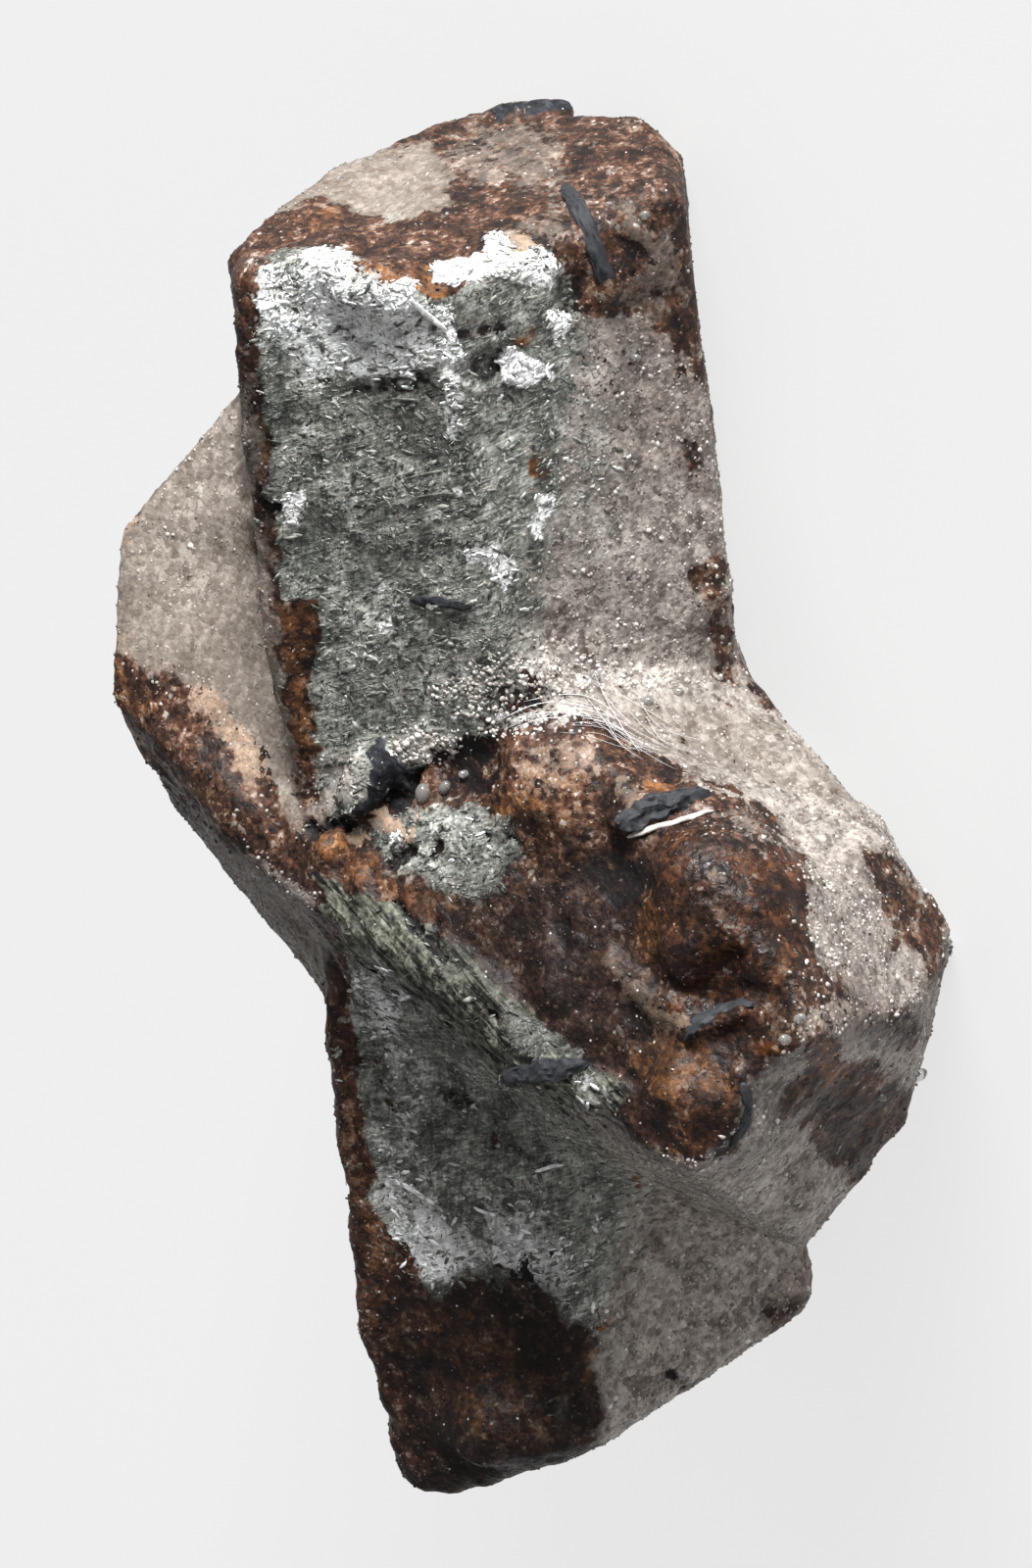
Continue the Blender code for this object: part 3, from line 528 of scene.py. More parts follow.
BLADES = (
    Blade("black_lath", "slate", ((630, 846), (652, 829), (688, 815), (722, 811)), 0.46, 0.14, 0.03),
    Blade("white_sliver", "quartz", ((640, 855), (668, 846), (700, 836), (727, 828)), 0.12, 0.08, 0.04),
    Blade("grey_lath", "slate", ((697, 1062), (706, 1045), (728, 1035), (748, 1027), (768, 1025)),
          0.30, 0.12, 0.03),
    Blade("curved_lath", "slate", ((757, 1105), (764, 1130), (758, 1151), (743, 1171)), 0.24, 0.14, 0.02),
    Blade("junction_lath", "slate", ((512, 1100), (540, 1095), (566, 1091), (600, 1086)), 0.40, 0.14, 0.05),
    Blade("small_lath", "slate", ((418, 613), (446, 612), (468, 618), (480, 620)), 0.20, 0.08, 0.01),
    Blade("top_right_lath", "slate", ((576, 194), (592, 214), (606, 255), (626, 312)), 0.34, 0.16, 0.07),
    Blade("leaf_edge_upper", "mica", ((391, 408), (410, 406), (428, 408)), 0.040, 0.03, 0.02),
    Blade("leaf_edge_middle", "mica", ((411, 489), (432, 483), (452, 480)), 0.035, 0.03, 0.02),
    Blade("leaf_edge_lower", "mica", ((424, 507), (445, 503), (466, 503)), 0.035, 0.03, 0.02),
    Blade("silver_ray", "silver", ((418, 304), (436, 320), (456, 336)), 0.12, 0.06, 0.05),
    # Bright slivers: pale mica with glints painted in as white
    Blade("bright_sliver_one", "silver", ((410, 1206), (424, 1216), (444, 1228)), 0.10, 0.03, 0.04),
    Blade("bright_sliver_two", "silver", ((484, 1231), (494, 1236), (506, 1239)), 0.07, 0.03, 0.04),
    Blade("bright_sliver_three", "silver", ((547, 1194), (560, 1190), (575, 1187)), 0.08, 0.03, 0.04),
    Blade("bright_sliver_four", "silver", ((383, 984), (390, 987), (398, 990)), 0.08, 0.03, 0.04),
    Blade("bright_sliver_five", "silver", ((408, 1020), (414, 1017), (420, 1014)), 0.07, 0.03, 0.04),
)

# Lint caught on the head's upper edge
HAIRS = (
    Blade("hair", "lint", ((570, 714), (600, 726), (632, 746), (674, 774)), 0.014, 0.014, 0.06),
    Blade("hair", "lint", ((585, 730), (625, 736), (650, 758), (686, 776)), 0.012, 0.012, 0.05),
    Blade("hair", "lint", ((600, 710), (622, 740), (640, 768)), 0.012, 0.012, 0.08),
    Blade("hair", "lint", ((540, 734), (575, 722), (612, 730), (640, 748)), 0.014, 0.014, 0.05),
    Blade("hair", "lint", ((612, 718), (626, 746), (652, 756)), 0.012, 0.012, 0.07),
    Blade("hair", "lint", ((640, 730), (662, 756), (704, 768)), 0.012, 0.012, 0.06),
    Blade("hair", "lint", ((516, 746), (556, 726), (604, 734)), 0.012, 0.012, 0.05),
    Blade("hair", "lint", ((570, 746), (606, 742), (634, 762), (660, 764)), 0.012, 0.012, 0.05),
)


class Bead(NamedTuple):
    """A clear grain at a pixel of the picture: its half length and half width in mm, and how it leans."""

    pixel: tuple
    length: float
    width: float
    lean: float = 0.0


BEADS = (
    Bead((432, 810), 0.19, 0.14, 80),
    Bead((453, 804), 0.13, 0.10, 60),
    Bead((474, 790), 0.10, 0.08, 20),
    Bead((511, 732), 0.12, 0.10, 40),
    Bead((527, 738), 0.11, 0.09, 0),
    Bead((542, 732), 0.11, 0.09, 70),
    Bead((801, 1061), 0.12, 0.10, 0),
    Bead((814, 1040), 0.12, 0.09, 30),
    Bead((897, 1119), 0.10, 0.09, 0),
    Bead((940, 1100), 0.16, 0.12, 50),
    Bead((894, 1063), 0.14, 0.10, 20),
    Bead((647, 365), 0.10, 0.08, 0),
    Bead((656, 220), 0.10, 0.08, 40),
    Bead((452, 892), 0.09, 0.07, 0),
    Bead((660, 716), 0.11, 0.09, 0),
    Bead((690, 706), 0.10, 0.08, 0),
    Bead((605, 690), 0.12, 0.09, 30),
)


def crystal_frames():
    """Axes of the two prisms in the world: the columns of each matrix are the directions of a, b and c."""
    turn = Vector((TWIN_FACE[0] / CELL_A, TWIN_FACE[1] / CELL_B, TWIN_FACE[2] / CELL_C)).normalized()
    twin = Matrix([[2 * turn[i] * turn[j] - (i == j) for j in range(3)] for i in range(3)])
    long_axis = Vector((0, 0, 1))
    up = (twin @ long_axis).cross(long_axis).normalized()
    main = Matrix((long_axis, up.cross(long_axis), up))
    return {"main": np.array(main), "second": np.array(main @ twin)}


def view_frame():
    """The camera's axes in the world: the columns point right, up and towards the viewer."""
    lean = Matrix.Rotation(LEAN, 3, "X")
    roll = Matrix.Rotation(ROLL, 3, "Z")
    # In the picture b runs right, c up and a towards the viewer before the lean and the roll
    in_view = [roll @ lean @ Vector(axis) for axis in ((0, 0, 1), (1, 0, 0), (0, 1, 0))]
    crystal_to_view = np.array(in_view).T
    return FRAMES["main"] @ crystal_to_view.T


FRAMES = crystal_frames()
VIEW = view_frame()

# Sizes of the patterns in the skin: grains, specks, and layers of schist along their prism's axes
GRAIN = 0.150 * MM
SPECK = 0.070 * MM
LAYER = (0.07 * MM, 0.22 * MM, 0.50 * MM)

# Painted glints: the share of the specks that get a white dot, its size against the speck's, and how white it
# is
GLINT_SHARE = 0.017
GLINT_SIZE = 0.36
GLINT_WHITE = 0.45

# How ragged the finishes' edges are: by fine noise, by whole grains and by blotches
RAGGED_FINE = 0.32
RAGGED_GRAIN = 0.32
RAGGED_BLOTCH = 0.26

# Depths of the bumps that the materials add to the skin and to the small pieces
SKIN_BUMP = 0.03 * MM
SMALL_BUMP = 0.01 * MM

# Mica leaves and streaks: their sizes out of the face, across the prism and along it, and how they rise
LEAF = (0.30 * MM, 0.20 * MM, 0.11 * MM)
STREAK = (0.60 * MM, 0.34 * MM, 0.045 * MM)
STREAK_RISE = math.radians(16.0)
FEATHER = (0.60 * MM, 0.05 * MM, 0.30 * MM)
FEATHER_RISE = math.radians(-12.0)

# Sizes of the skin's soft mottles, blotches, fine grain and ragged edges
CLOUD = 0.90 * MM
BLOTCH = 0.42 * MM
FINE = 0.22 * MM
RAGGED = 0.15 * MM

# The painted share at which a finish starts to show, and the share at which it covers
SHARE_FROM = 0.24
SHARE_FULL = 0.64

# Tones of small pieces gather around the middle of their look's shades, and drift over this many mm
TONE_MIDDLE = 0.50
TONE_SPREAD = 0.085
TONE_CLOUD = 0.14
TONE_CLOUD_SIZE = 0.8

# Bumps of the broad, middling and fine crusts, in mm
BROAD = 3.2
MIDDLING = 1.3
SMALL = 0.5

# How far a point has to face the camera to be seen, and where the test ray starts, out and towards it, in mm
SEEN_FROM = -0.08
SEEN_FULL = 0.05
RAY_OUT = 0.12
RAY_FORWARD = 0.05
RAY_LENGTH = 30.0

# Relief of the skin in mm: swells, mica leaves as size, depth and seed, grains, knobbly stone and schist
SWELL = 0.04
SWELL_SIZE = 1.5
LEAF_STEPS = ((0.70, 0.030, 31), (0.30, 0.012, 32))
GRAIN_SPACING = 0.26
GRAIN_DOME = 0.035
GRAIN_STEP = 0.018
KNOBS = ((0.06, 0.75, 22, 3), (0.03, 0.30, 23, 2))
SCHIST_LEAF = (0.22, 0.5, 0.9)
SCHIST_STEP = 0.06
SCHIST_TILT = 0.08
DARK_DEPTH = 0.05

# A share under this is too small for relief
LEAST_SHARE = 0.05

# How far small pieces stray from the skin's points, in mm
STRAY = 0.05

# Thin mica, against its radius: depth, width and unevenness, and how strongly it runs along the streaks
FLAKE_DEPTH = 0.08
FLAKE_WIDTH = 0.4
FLAKE_UNEVEN = 0.22
FLAKE_RUN = 1.6

# Bars that are bent into laths and hairs: sides, cuts, how blunt their ends are and how far they narrow
LATH_SIDES = 10
LATH_CUTS = 23
LATH_BLUNT = 6.0
HAIR_SIDES = 3
HAIR_CUTS = 11
HAIR_BLUNT = 4.0
NARROWING = 0.75

# Roughness of the laths against their width, its size in mm, and their tones
LATH_ROUGH = 0.16
LATH_ROUGH_SIZE = 0.20
LATH_TONE = 0.46
LATH_TONE_SPREAD = 0.12
LATH_TONE_SIZE = 0.15

# Points along a bent bar, and how often its pixels and its points are smoothed
PATH_POINTS = 25
PIXEL_PASSES = 6
POINT_PASSES = 30
RUN_STEP = 0.05

# Copies of each hair, how many pixels they lie apart and how much they wobble
HAIR_COPIES = 2
HAIR_SHIFT = 9.0
HAIR_WOBBLE = 4.0

# Clear grains: their bumps, the size of these against the grain, and how far they stand out
BEAD_BUMPS = 0.10
BEAD_BUMP_SIZE = 1.2
BEAD_RISE = 0.25

# Grains: least width and height against the length, how freely they turn, and their unevenness
GRAIN_SHAPE = (0.6, 0.5)
GRAIN_TURN = 3.0
GRAIN_UNEVEN = 0.45


class Sprinkle(NamedTuple):
    """Small pieces spread over the skin, with their least radius and what is added to it, in mm.

    The shape gives the least width and height against the radius, the turn how far the pieces lean out of the
    surface, and the sink how deep their middles lie against the radius.
    """

    name: str
    radius: float
    extra: float
    shape: tuple
    turn: float
    sink: float = 0.0


MICA_FLAKES = Sprinkle("mica_flakes", 0.05, 0.10, (0.30, 1.0), 0.03)
FINE_MICA = Sprinkle("fine_mica", 0.03, 0.05, (0.30, 1.0), 0.03)
SILVER_LEAVES = Sprinkle("silver_leaves", 0.04, 0.10, (0.40, 0.6), 0.05)
SAND_GRAINS = Sprinkle("sand_grains", 0.045, 0.035, GRAIN_SHAPE, GRAIN_TURN, 0.55)
FINE_SAND = Sprinkle("fine_sand", 0.030, 0.025, GRAIN_SHAPE, GRAIN_TURN, 0.45)
QUARTZ_GRAINS = Sprinkle("quartz_grains", 0.03, 0.05, GRAIN_SHAPE, GRAIN_TURN, 0.30)
BROWN_CRUMBS = Sprinkle("brown_crumbs", 0.025, 0.04, GRAIN_SHAPE, GRAIN_TURN, 0.50)

# The studio: the floor's paper, the even light, and the key light with its direction in the camera's axes
PAPER = (0.18, 0.18, 0.18, 1.0)
PAPER_GLOW = 0.835
EVEN_LIGHT = 0.35
KEY_DIRECTION = (-0.10, 0.80, 0.59)
KEY_DISTANCE = 0.50
KEY_WIDTH = 0.30
KEY_HEIGHT = 0.10
KEY_POWER = 7.2

# How many shapes the small pieces come in
KINDS = 6

# Noise: what a seed shifts it by, how it fades and shrinks over its octaves, and how cells get their chances
SEED_SHIFT = (7.31, 3.17, 5.93)
NOISE_FADE = 0.8
NOISE_SHRINK = 2.1
CHANCE_SCALE = 37.7

# Seeds of the random draws and of the noise
LINT_SEED = 3
FLAKE_SEED = 5
GRAIN_SEED = 9
BLADE_TONE_SEED = 50
BLADE_ROUGH_SEED = 60
BEAD_SEED = 70
TONE_SEED = 81


def face_axes(name, rise):
    """Three directions on a face of the main prism: out of it, across it and along it, turned by an angle."""
    outward = FRAMES["main"] @ LONG_FACES["main"][name][0]
    along = FRAMES["main"][:, 2]
    across = np.cross(along, outward)
    return np.column_stack((outward, math.cos(rise) * across + math.sin(rise) * along,
                            math.cos(rise) * along - math.sin(rise) * across))


def to_pixels(spots):
    """Where points in millimetres fall in the picture."""
    seen = (spots - CROSSING) @ VIEW
    nearness = VIEW_DISTANCE / (VIEW_DISTANCE - seen[:, 2])
    x = CROSSING_PIXEL[0] + PIXELS_PER_MM * seen[:, 0] * nearness
    y = CROSSING_PIXEL[1] - PIXELS_PER_MM * seen[:, 1] * nearness
    return np.column_stack((x, y))


def pixel_ray(x, y):
    """Start and direction, in millimetres, of the line of sight through a pixel of the picture."""
    start = CROSSING + VIEW @ np.array((0.0, 0.0, VIEW_DISTANCE))
    target = CROSSING + VIEW @ np.array(((x - CROSSING_PIXEL[0]) / PIXELS_PER_MM,
                                         (CROSSING_PIXEL[1] - y) / PIXELS_PER_MM, 0.0))
    direction = target - start
    return start, direction / np.linalg.norm(direction)


def soft_step(low, high, values):
    """0 below low, 1 above high and smooth between."""
    share = np.clip((values - low) / (high - low), 0.0, 1.0)
    return share * share * (3.0 - 2.0 * share)


def noise_places(spots, size, seed):
    """Where the noise is read for points in millimetres, with bumps of this size."""
    shift = Vector([seed * step for step in SEED_SHIFT])
    return [Vector(spot) / size + shift for spot in spots]


def ripple(spots, size, seed, octaves=2):
    """Smooth noise from about -1 to 1, whose bumps are size millimetres across."""
    places = noise_places(spots, size, seed)
    return np.array([noise.fractal(place, NOISE_FADE, NOISE_SHRINK, octaves) for place in places])


def cells(spots, size, seed):
    """Random cells about size mm across: each point's distance to and offset from its middle, and chances."""
    away = np.empty(len(spots))
    offset = np.empty((len(spots), 3))
    chance = np.empty((len(spots), 3))
    for index, place in enumerate(noise_places(spots, size, seed)):
        distances, middles = noise.voronoi(place)
        away[index] = distances[0]
        offset[index] = place - middles[0]
        chance[index] = noise.cell_vector(middles[0] * CHANCE_SCALE)
    return away, offset, chance


def outline_distance(pixels, outline):
    """Distance in pixels inside an outline, negative outside it."""
    corners = np.array(outline, float)
    nearest = np.full(len(pixels), 1e9)
    inside = np.zeros(len(pixels), bool)
    for start, end in zip(corners, np.roll(corners, -1, axis=0)):
        run = end - start
        along = np.clip(((pixels - start) @ run) / (run @ run), 0.0, 1.0)
        gap = pixels - start - along[:, None] * run
        nearest = np.minimum(nearest, np.hypot(gap[:, 0], gap[:, 1]))
        if start[1] != end[1]:
            crosses = (start[1] > pixels[:, 1]) != (end[1] > pixels[:, 1])
            where = start[0] + (pixels[:, 1] - start[1]) * run[0] / run[1]
            inside ^= crosses & (pixels[:, 0] < where)
    return np.where(inside, nearest, -nearest)


def only(*objects):
    """Select these objects alone, the first one active."""
    bpy.ops.object.select_all(action="DESELECT")
    for obj in objects:
        obj.select_set(True)
    bpy.context.view_layer.objects.active = objects[0]


def apply_modifier(obj, kind, **settings):
    """Add a modifier with these settings and apply it."""
    only(obj)
    modifier = obj.modifiers.new(kind.lower(), kind)
    for name, value in settings.items():
        setattr(modifier, name, value)
    bpy.ops.object.modifier_apply(modifier=modifier.name)


def read_vectors(mesh, what):
    """Coordinates or normals of a mesh's points as an array."""
    values = np.empty(len(mesh.vertices) * 3, np.float32)
    mesh.vertices.foreach_get(what, values)
    return values.reshape(-1, 3).astype(float)


def write_spots(mesh, spots):
    """Move a mesh's points to these places in millimetres."""
    mesh.vertices.foreach_set("co", (spots * MM).astype(np.float32).ravel())
    mesh.update()


def write_layer(mesh, name, values):
    """Store one number for each point of a mesh."""
    layer = mesh.attributes.get(name) or mesh.attributes.new(name, "FLOAT", "POINT")
    layer.data.foreach_set("value", values.astype(np.float32))


# Corners that are worn further back than the solid's: a prism, a direction in its axes and a distance in mm
WORN_CORNERS = (
    ("main", (-0.55, -0.80, 0.75), 9.42),
    ("second", (0.62, -0.62, 1.10), 8.05),
    ("main", (-0.23, 0.79, 0.57), 9.74),
    ("main", (-0.30, 0.60, 0.74), 11.30),
)


def wear_corners(spots):
    """Push the points that lie past a worn corner's plane back to it."""
    for prism, direction, distance in WORN_CORNERS:
        outward = FRAMES[prism] @ (np.array(direction) / np.linalg.norm(direction))
        past = (spots - CROSSING) @ outward - distance
        spots = spots - np.maximum(past, 0.0)[:, None] * outward
    return spots


def surface_tree(spots, mesh):
    """A search tree of a mesh's faces in millimetres, for rays."""
    faces = [tuple(face.vertices) for face in mesh.polygons]
    return BVHTree.FromPolygons([Vector(spot) for spot in spots], faces)


class Skin:
    """What the painting needs to know of each point of the surface."""

    def __init__(self, mesh):
        self.spots = read_vectors(mesh, "co") / MM
        self.normals = read_vectors(mesh, "normal")
        self.axes = {prism: (self.spots - CROSSING) @ axes for prism, axes in FRAMES.items()}
        self.gaps = {prism: self.face_gaps(prism) for prism in LONG_FACES}
        self.pixels = to_pixels(self.spots)
        self.seen = self.how_well_seen(mesh)

    def face_gaps(self, prism):
        """How far each point lies outside each long face of a prism."""
        return {name: self.axes[prism] @ direction - distance
                for name, (direction, distance) in LONG_FACES[prism].items()}

    def how_well_seen(self, mesh):
        """1 where the camera sees the point squarely, down to 0 where it doesn't."""
        eye = CROSSING + VIEW @ np.array((0.0, 0.0, VIEW_DISTANCE))
        towards = eye - self.spots
        towards /= np.linalg.norm(towards, axis=1)[:, None]
        facing = np.einsum("ij,ij->i", self.normals, towards)
        seen = soft_step(SEEN_FROM, SEEN_FULL, facing)
        tree = surface_tree(self.spots, mesh)
        for index in np.nonzero(seen > 0)[0]:
            start = self.spots[index] + RAY_OUT * self.normals[index] + RAY_FORWARD * towards[index]
            if tree.ray_cast(Vector(start), Vector(towards[index]), RAY_LENGTH)[0] is not None:
                seen[index] = 0.0
        return seen


class Coat:
    """How much of each finish every point has. The shares add up to one."""

    def __init__(self, count):
        self.shares = {finish: np.zeros(count) for finish in FINISHES}
        self.shares["stone"][:] = 1.0
        # How much painted shade darkens each point's colour
        self.painted_shade = np.zeros(count)
        self.lift = np.zeros(count)

    def lay(self, finish, amount):
        """Cover what is there with a finish, or darken it with painted shade."""
        if finish == "painted_shade":
            self.painted_shade += (1.0 - self.painted_shade) * amount
            return
        for share in self.shares.values():
            share *= 1.0 - amount
        self.shares[finish] += amount


def lay_crusts(coat, skin):
    """The crusts that each face carries, on every side of the cross."""
    off = {prism: np.max(list(gaps.values()), axis=0) for prism, gaps in skin.gaps.items()}
    on_second = soft_step(-0.15, 0.15, off["main"] - off["second"])
    share_on = {"main": 1.0 - on_second, "second": on_second}
    broad = ripple(skin.spots, BROAD, 1, 3)
    middling = ripple(skin.spots, MIDDLING, 2, 3)
    fine = ripple(skin.spots, SMALL, 3, 2)
    along = skin.axes["main"][:, 2]
    along_second = skin.axes["second"][:, 2]
    sandy = soft_step(-0.3, 0.25, broad + 0.5 * middling)
    micaceous = soft_step(-0.15, 0.3, middling - 0.4 * broad)

    def on_face(prism, name):
        gaps = skin.gaps[prism]
        others = np.max([gap for face, gap in gaps.items() if face != name], axis=0)
        return share_on[prism] * soft_step(-0.5, 0.5, gaps[name] - others)

    for finish, prism, face, amount in (
            ("mica", "main", "front left", soft_step(-10.5, -8.5, along)),
            ("sand", "main", "front right", 1.0),
            ("cream", "main", "side left", 0.5),
            ("mica", "main", "side left", 0.6 * micaceous),
            ("sand", "main", "side right", 0.8 * sandy),
            ("mica", "main", "back left", 0.9 * micaceous),
            ("sand", "main", "back right", sandy),
            ("schist", "main", "back right", 0.5 * micaceous),
            ("sand", "second", "front right", 1.0),
            ("sand", "second", "front left", sandy),
            ("mica", "second", "front left", 0.7 * micaceous),
            ("cream", "second", "side right", 0.7 * soft_step(0.5, -1.5, along_second)),
            ("sand", "second", "side left", 0.9 * sandy),
            ("mica", "second", "back left", 0.9 * micaceous),
            ("sand", "second", "back right", 0.8 * sandy),
            ("schist", "second", "back right", 0.6 * micaceous)):
        coat.lay(finish, on_face(prism, face) * amount)

    # The ends
    coat.lay("sand", soft_step(7.6, 8.6, along_second) * sandy * 0.8)
    coat.lay("stone", soft_step(10.2, 11.2, along) * soft_step(-0.2, 0.3, middling) * 0.8)
    coat.lay("cream", soft_step(10.6, 11.4, along) * soft_step(0.0, 0.4, broad) * 0.7)

    # The inward corner between the prisms, and then their bare edges
    corner = soft_step(0.9, 0.2, np.abs(off["main"] - off["second"]))
    corner *= soft_step(-1.2, -0.2, np.minimum(off["main"], off["second"]))
    coat.lay("schist", corner * soft_step(-0.3, 0.3, broad) * 0.6)
    coat.lay("sand", corner * soft_step(0.3, -0.3, broad) * 0.6)
    for prism, gaps in skin.gaps.items():
        ranked = np.sort(np.array(list(gaps.values())), axis=0)
        edge = soft_step(0.75, 0.15, ranked[-1] - ranked[-2] + 0.35 * fine)
        coat.lay("stone", share_on[prism] * edge * 0.8)
    coat.lay("dark", soft_step(0.55, 0.9, fine + 0.4 * middling) * 0.5)
    coat.lay("rust", soft_step(0.35, 0.8, middling - 0.4 * fine) * coat.shares["stone"] * 0.5)


def lay_patches(coat, skin):
    """The patches that the camera sees, in their order."""
    warp = np.column_stack([ripple(skin.spots, EDGE_BUMPS, seed, 3) for seed in (11, 12)])
    pixels = skin.pixels + EDGE_WANDER * warp
    for patch in PATCHES:
        low = np.min(patch.outline, axis=0) - patch.feather
        high = np.max(patch.outline, axis=0) + patch.feather
        near = np.all((pixels > low) & (pixels < high), axis=1) & (skin.seen > 0)
        chosen = np.nonzero(near)[0]
        if len(chosen) == 0:
            continue
        inside = outline_distance(pixels[chosen], patch.outline)
        cover = np.zeros(len(pixels))
        cover[chosen] = soft_step(-patch.feather / 2, patch.feather / 2, inside)
        cover *= skin.seen
        coat.lay(patch.finish, patch.strength * cover)
        coat.lift += patch.lift * cover


def relief(coat, skin):
    """How far each point moves out of the smooth skin, in millimetres."""
    shares = coat.shares
    height = coat.lift + SWELL * ripple(skin.spots, SWELL_SIZE, 21, 3)

    # Mica leaves, each a little tilted
    flaky = shares["mica"] + shares["silver"] + 0.3 * shares["schist"]
    chosen = np.nonzero(flaky > LEAST_SHARE)[0]
    for size, depth, seed in LEAF_STEPS:
        leaf_spots = skin.axes["main"][chosen] / np.array((size, size, 1.6 * size))
        _, offset, chance = cells(leaf_spots, 1.0, seed)
        tilt = np.einsum("ij,ij->i", offset, chance)
        height[chosen] += flaky[chosen] * depth * (1.3 * tilt + 0.7 * chance[:, 0])

    # Rounded grains
    grainy = shares["sand"] + 0.8 * shares["cream"] + 0.8 * shares["stone"]
    grainy += 1.2 * shares["quartz"] + shares["rust"]
    chosen = np.nonzero(grainy > LEAST_SHARE)[0]
    away, _, chance = cells(skin.spots[chosen], GRAIN_SPACING, 33)
    height[chosen] += grainy[chosen] * (GRAIN_DOME * (0.5 - away) + GRAIN_STEP * chance[:, 0])

    # Knobbly bare stone
    knobbly = shares["stone"] + shares["rust"]
    for depth, size, seed, octaves in KNOBS:
        height += knobbly * depth * ripple(skin.spots, size, seed, octaves)

    # Layers of schist
    layered = np.nonzero(shares["schist"] > LEAST_SHARE)[0]
    leaf_spots = skin.axes["second"][layered] / np.array(SCHIST_LEAF)
    _, offset, chance = cells(leaf_spots, 1.0, 34)
    tilt = np.einsum("ij,ij->i", offset, chance)
    height[layered] += shares["schist"][layered] * (SCHIST_STEP * chance[:, 0] + SCHIST_TILT * tilt)
    return height - DARK_DEPTH * shares["dark"]


class Maths:
    """A number in a material's node tree. Sums and products on it add the nodes that work them out."""

    def __init__(self, tree, socket):
        self.tree = tree
        self.socket = socket

    def combine(self, operation, first, second):
        """Add a Math node that works on two numbers or sockets."""
        node = self.tree.nodes.new("ShaderNodeMath")
        node.operation = operation
        for slot, value in zip(node.inputs, (first, second)):
            if isinstance(value, Maths):
                self.tree.links.new(value.socket, slot)
            else:
                slot.default_value = value
        return Maths(self.tree, node.outputs[0])

    def __add__(self, other):
        return self.combine("ADD", self, other)

    __radd__ = __add__

    def __mul__(self, other):
        return self.combine("MULTIPLY", self, other)

    __rmul__ = __mul__

    def __sub__(self, other):
        return self.combine("SUBTRACT", self, other)

    def __rsub__(self, other):
        return self.combine("SUBTRACT", other, self)

    def __truediv__(self, other):
        return self.combine("DIVIDE", self, other)

    def __rtruediv__(self, other):
        return self.combine("DIVIDE", other, self)


class Finish:
    """A material under construction: its node tree and its Principled shader."""

    def __init__(self, name, **constants):
        self.material = bpy.data.materials.new(name)
        self.material.use_nodes = True
        self.tree = self.material.node_tree
        self.shader = self.tree.nodes["Principled BSDF"]
        for socket, value in constants.items():
            self.shader.inputs[socket.replace("_", " ")].default_value = value

    def node(self, kind, output, settings, **values):
        """Add a node: its settings come first, then the values or links of its sockets."""
        node = self.tree.nodes.new(kind)
        for name, value in settings.items():
            setattr(node, name, value)
        for name, value in values.items():
            socket = self.socket(node.inputs, name)
            if isinstance(value, Maths):
                self.tree.links.new(value.socket, socket)
            else:
                socket.default_value = value
        return Maths(self.tree, self.socket(node.outputs, output))

    def socket(self, sockets, name):
        """A node's socket by its identifier or by its name, written with low lines for spaces."""
        by_identifier = {socket.identifier: socket for socket in sockets}
        return by_identifier.get(name) or sockets[name.replace("_", " ")]

    def layer(self, name):
        """One of the numbers stored on the mesh."""
        return self.node("ShaderNodeAttribute", "Fac", {"attribute_name": name})

    def between(self, value, low, high):
        """0 below low, 1 above high and smooth between."""
        return self.node("ShaderNodeMapRange", "Result", {"interpolation_type": "SMOOTHSTEP"},
                         Value=value, From_Min=low, From_Max=high)

    def mix(self, share, first, second):
        """One colour going over into another."""
        return self.node("ShaderNodeMix", "Result_Color", {"data_type": "RGBA"},
                         Factor_Float=share, A_Color=first, B_Color=second)

    def channel(self, colour, name):
        """One channel of a colour as a number."""
        return self.node("ShaderNodeSeparateColor", name, {}, Color=colour)

    def noise(self, spot, size, detail=3.0):
        """Noise spread over 0 to 1, with bumps of this size in metres."""
        value = self.node("ShaderNodeTexNoise", "Fac", {}, Vector=spot, Scale=1 / size, Detail=detail,
                          Roughness=0.62)
        return self.between(value, 0.30, 0.70)

    def cells(self, spot, scale, output="Color"):
        """Random cells: their colours or the distance to their middles."""
        return self.node("ShaderNodeTexVoronoi", output, {"feature": "F1"}, Vector=spot, Scale=scale)

    def stretched(self, spot, axes, sizes):
        """The spot along three directions, counted in these sizes in metres."""
        along = [self.node("ShaderNodeVectorMath", "Value", {"operation": "DOT_PRODUCT"},
                           Vector=spot, Vector_001=tuple(axes[:, axis] / size))
                 for axis, size in enumerate(sizes)]
        return self.node("ShaderNodeCombineXYZ", "Vector", {}, X=along[0], Y=along[1], Z=along[2])

    def shades(self, value, look, colours):
        """A look's colours along a value."""
        ramp = self.node("ShaderNodeValToRGB", "Color", {}, Fac=value)
        elements = ramp.socket.node.color_ramp.elements
        while len(elements) < len(look.shades):
            elements.new(1.0)
        for element, (place, name) in zip(elements, look.shades):
            element.position = place
            element.color = linear(colours[name])
        return ramp

    def feed(self, socket, value):
        """Link a value to one of the shader's sockets."""
        self.tree.links.new(value.socket, self.shader.inputs[socket])


def linear(colour):
    """A display colour as the light values that a shader needs, with a fourth channel of 1."""
    return (*[c / 12.92 if c <= 0.04045 else ((c + 0.055) / 1.055) ** 2.4 for c in colour], 1.0)


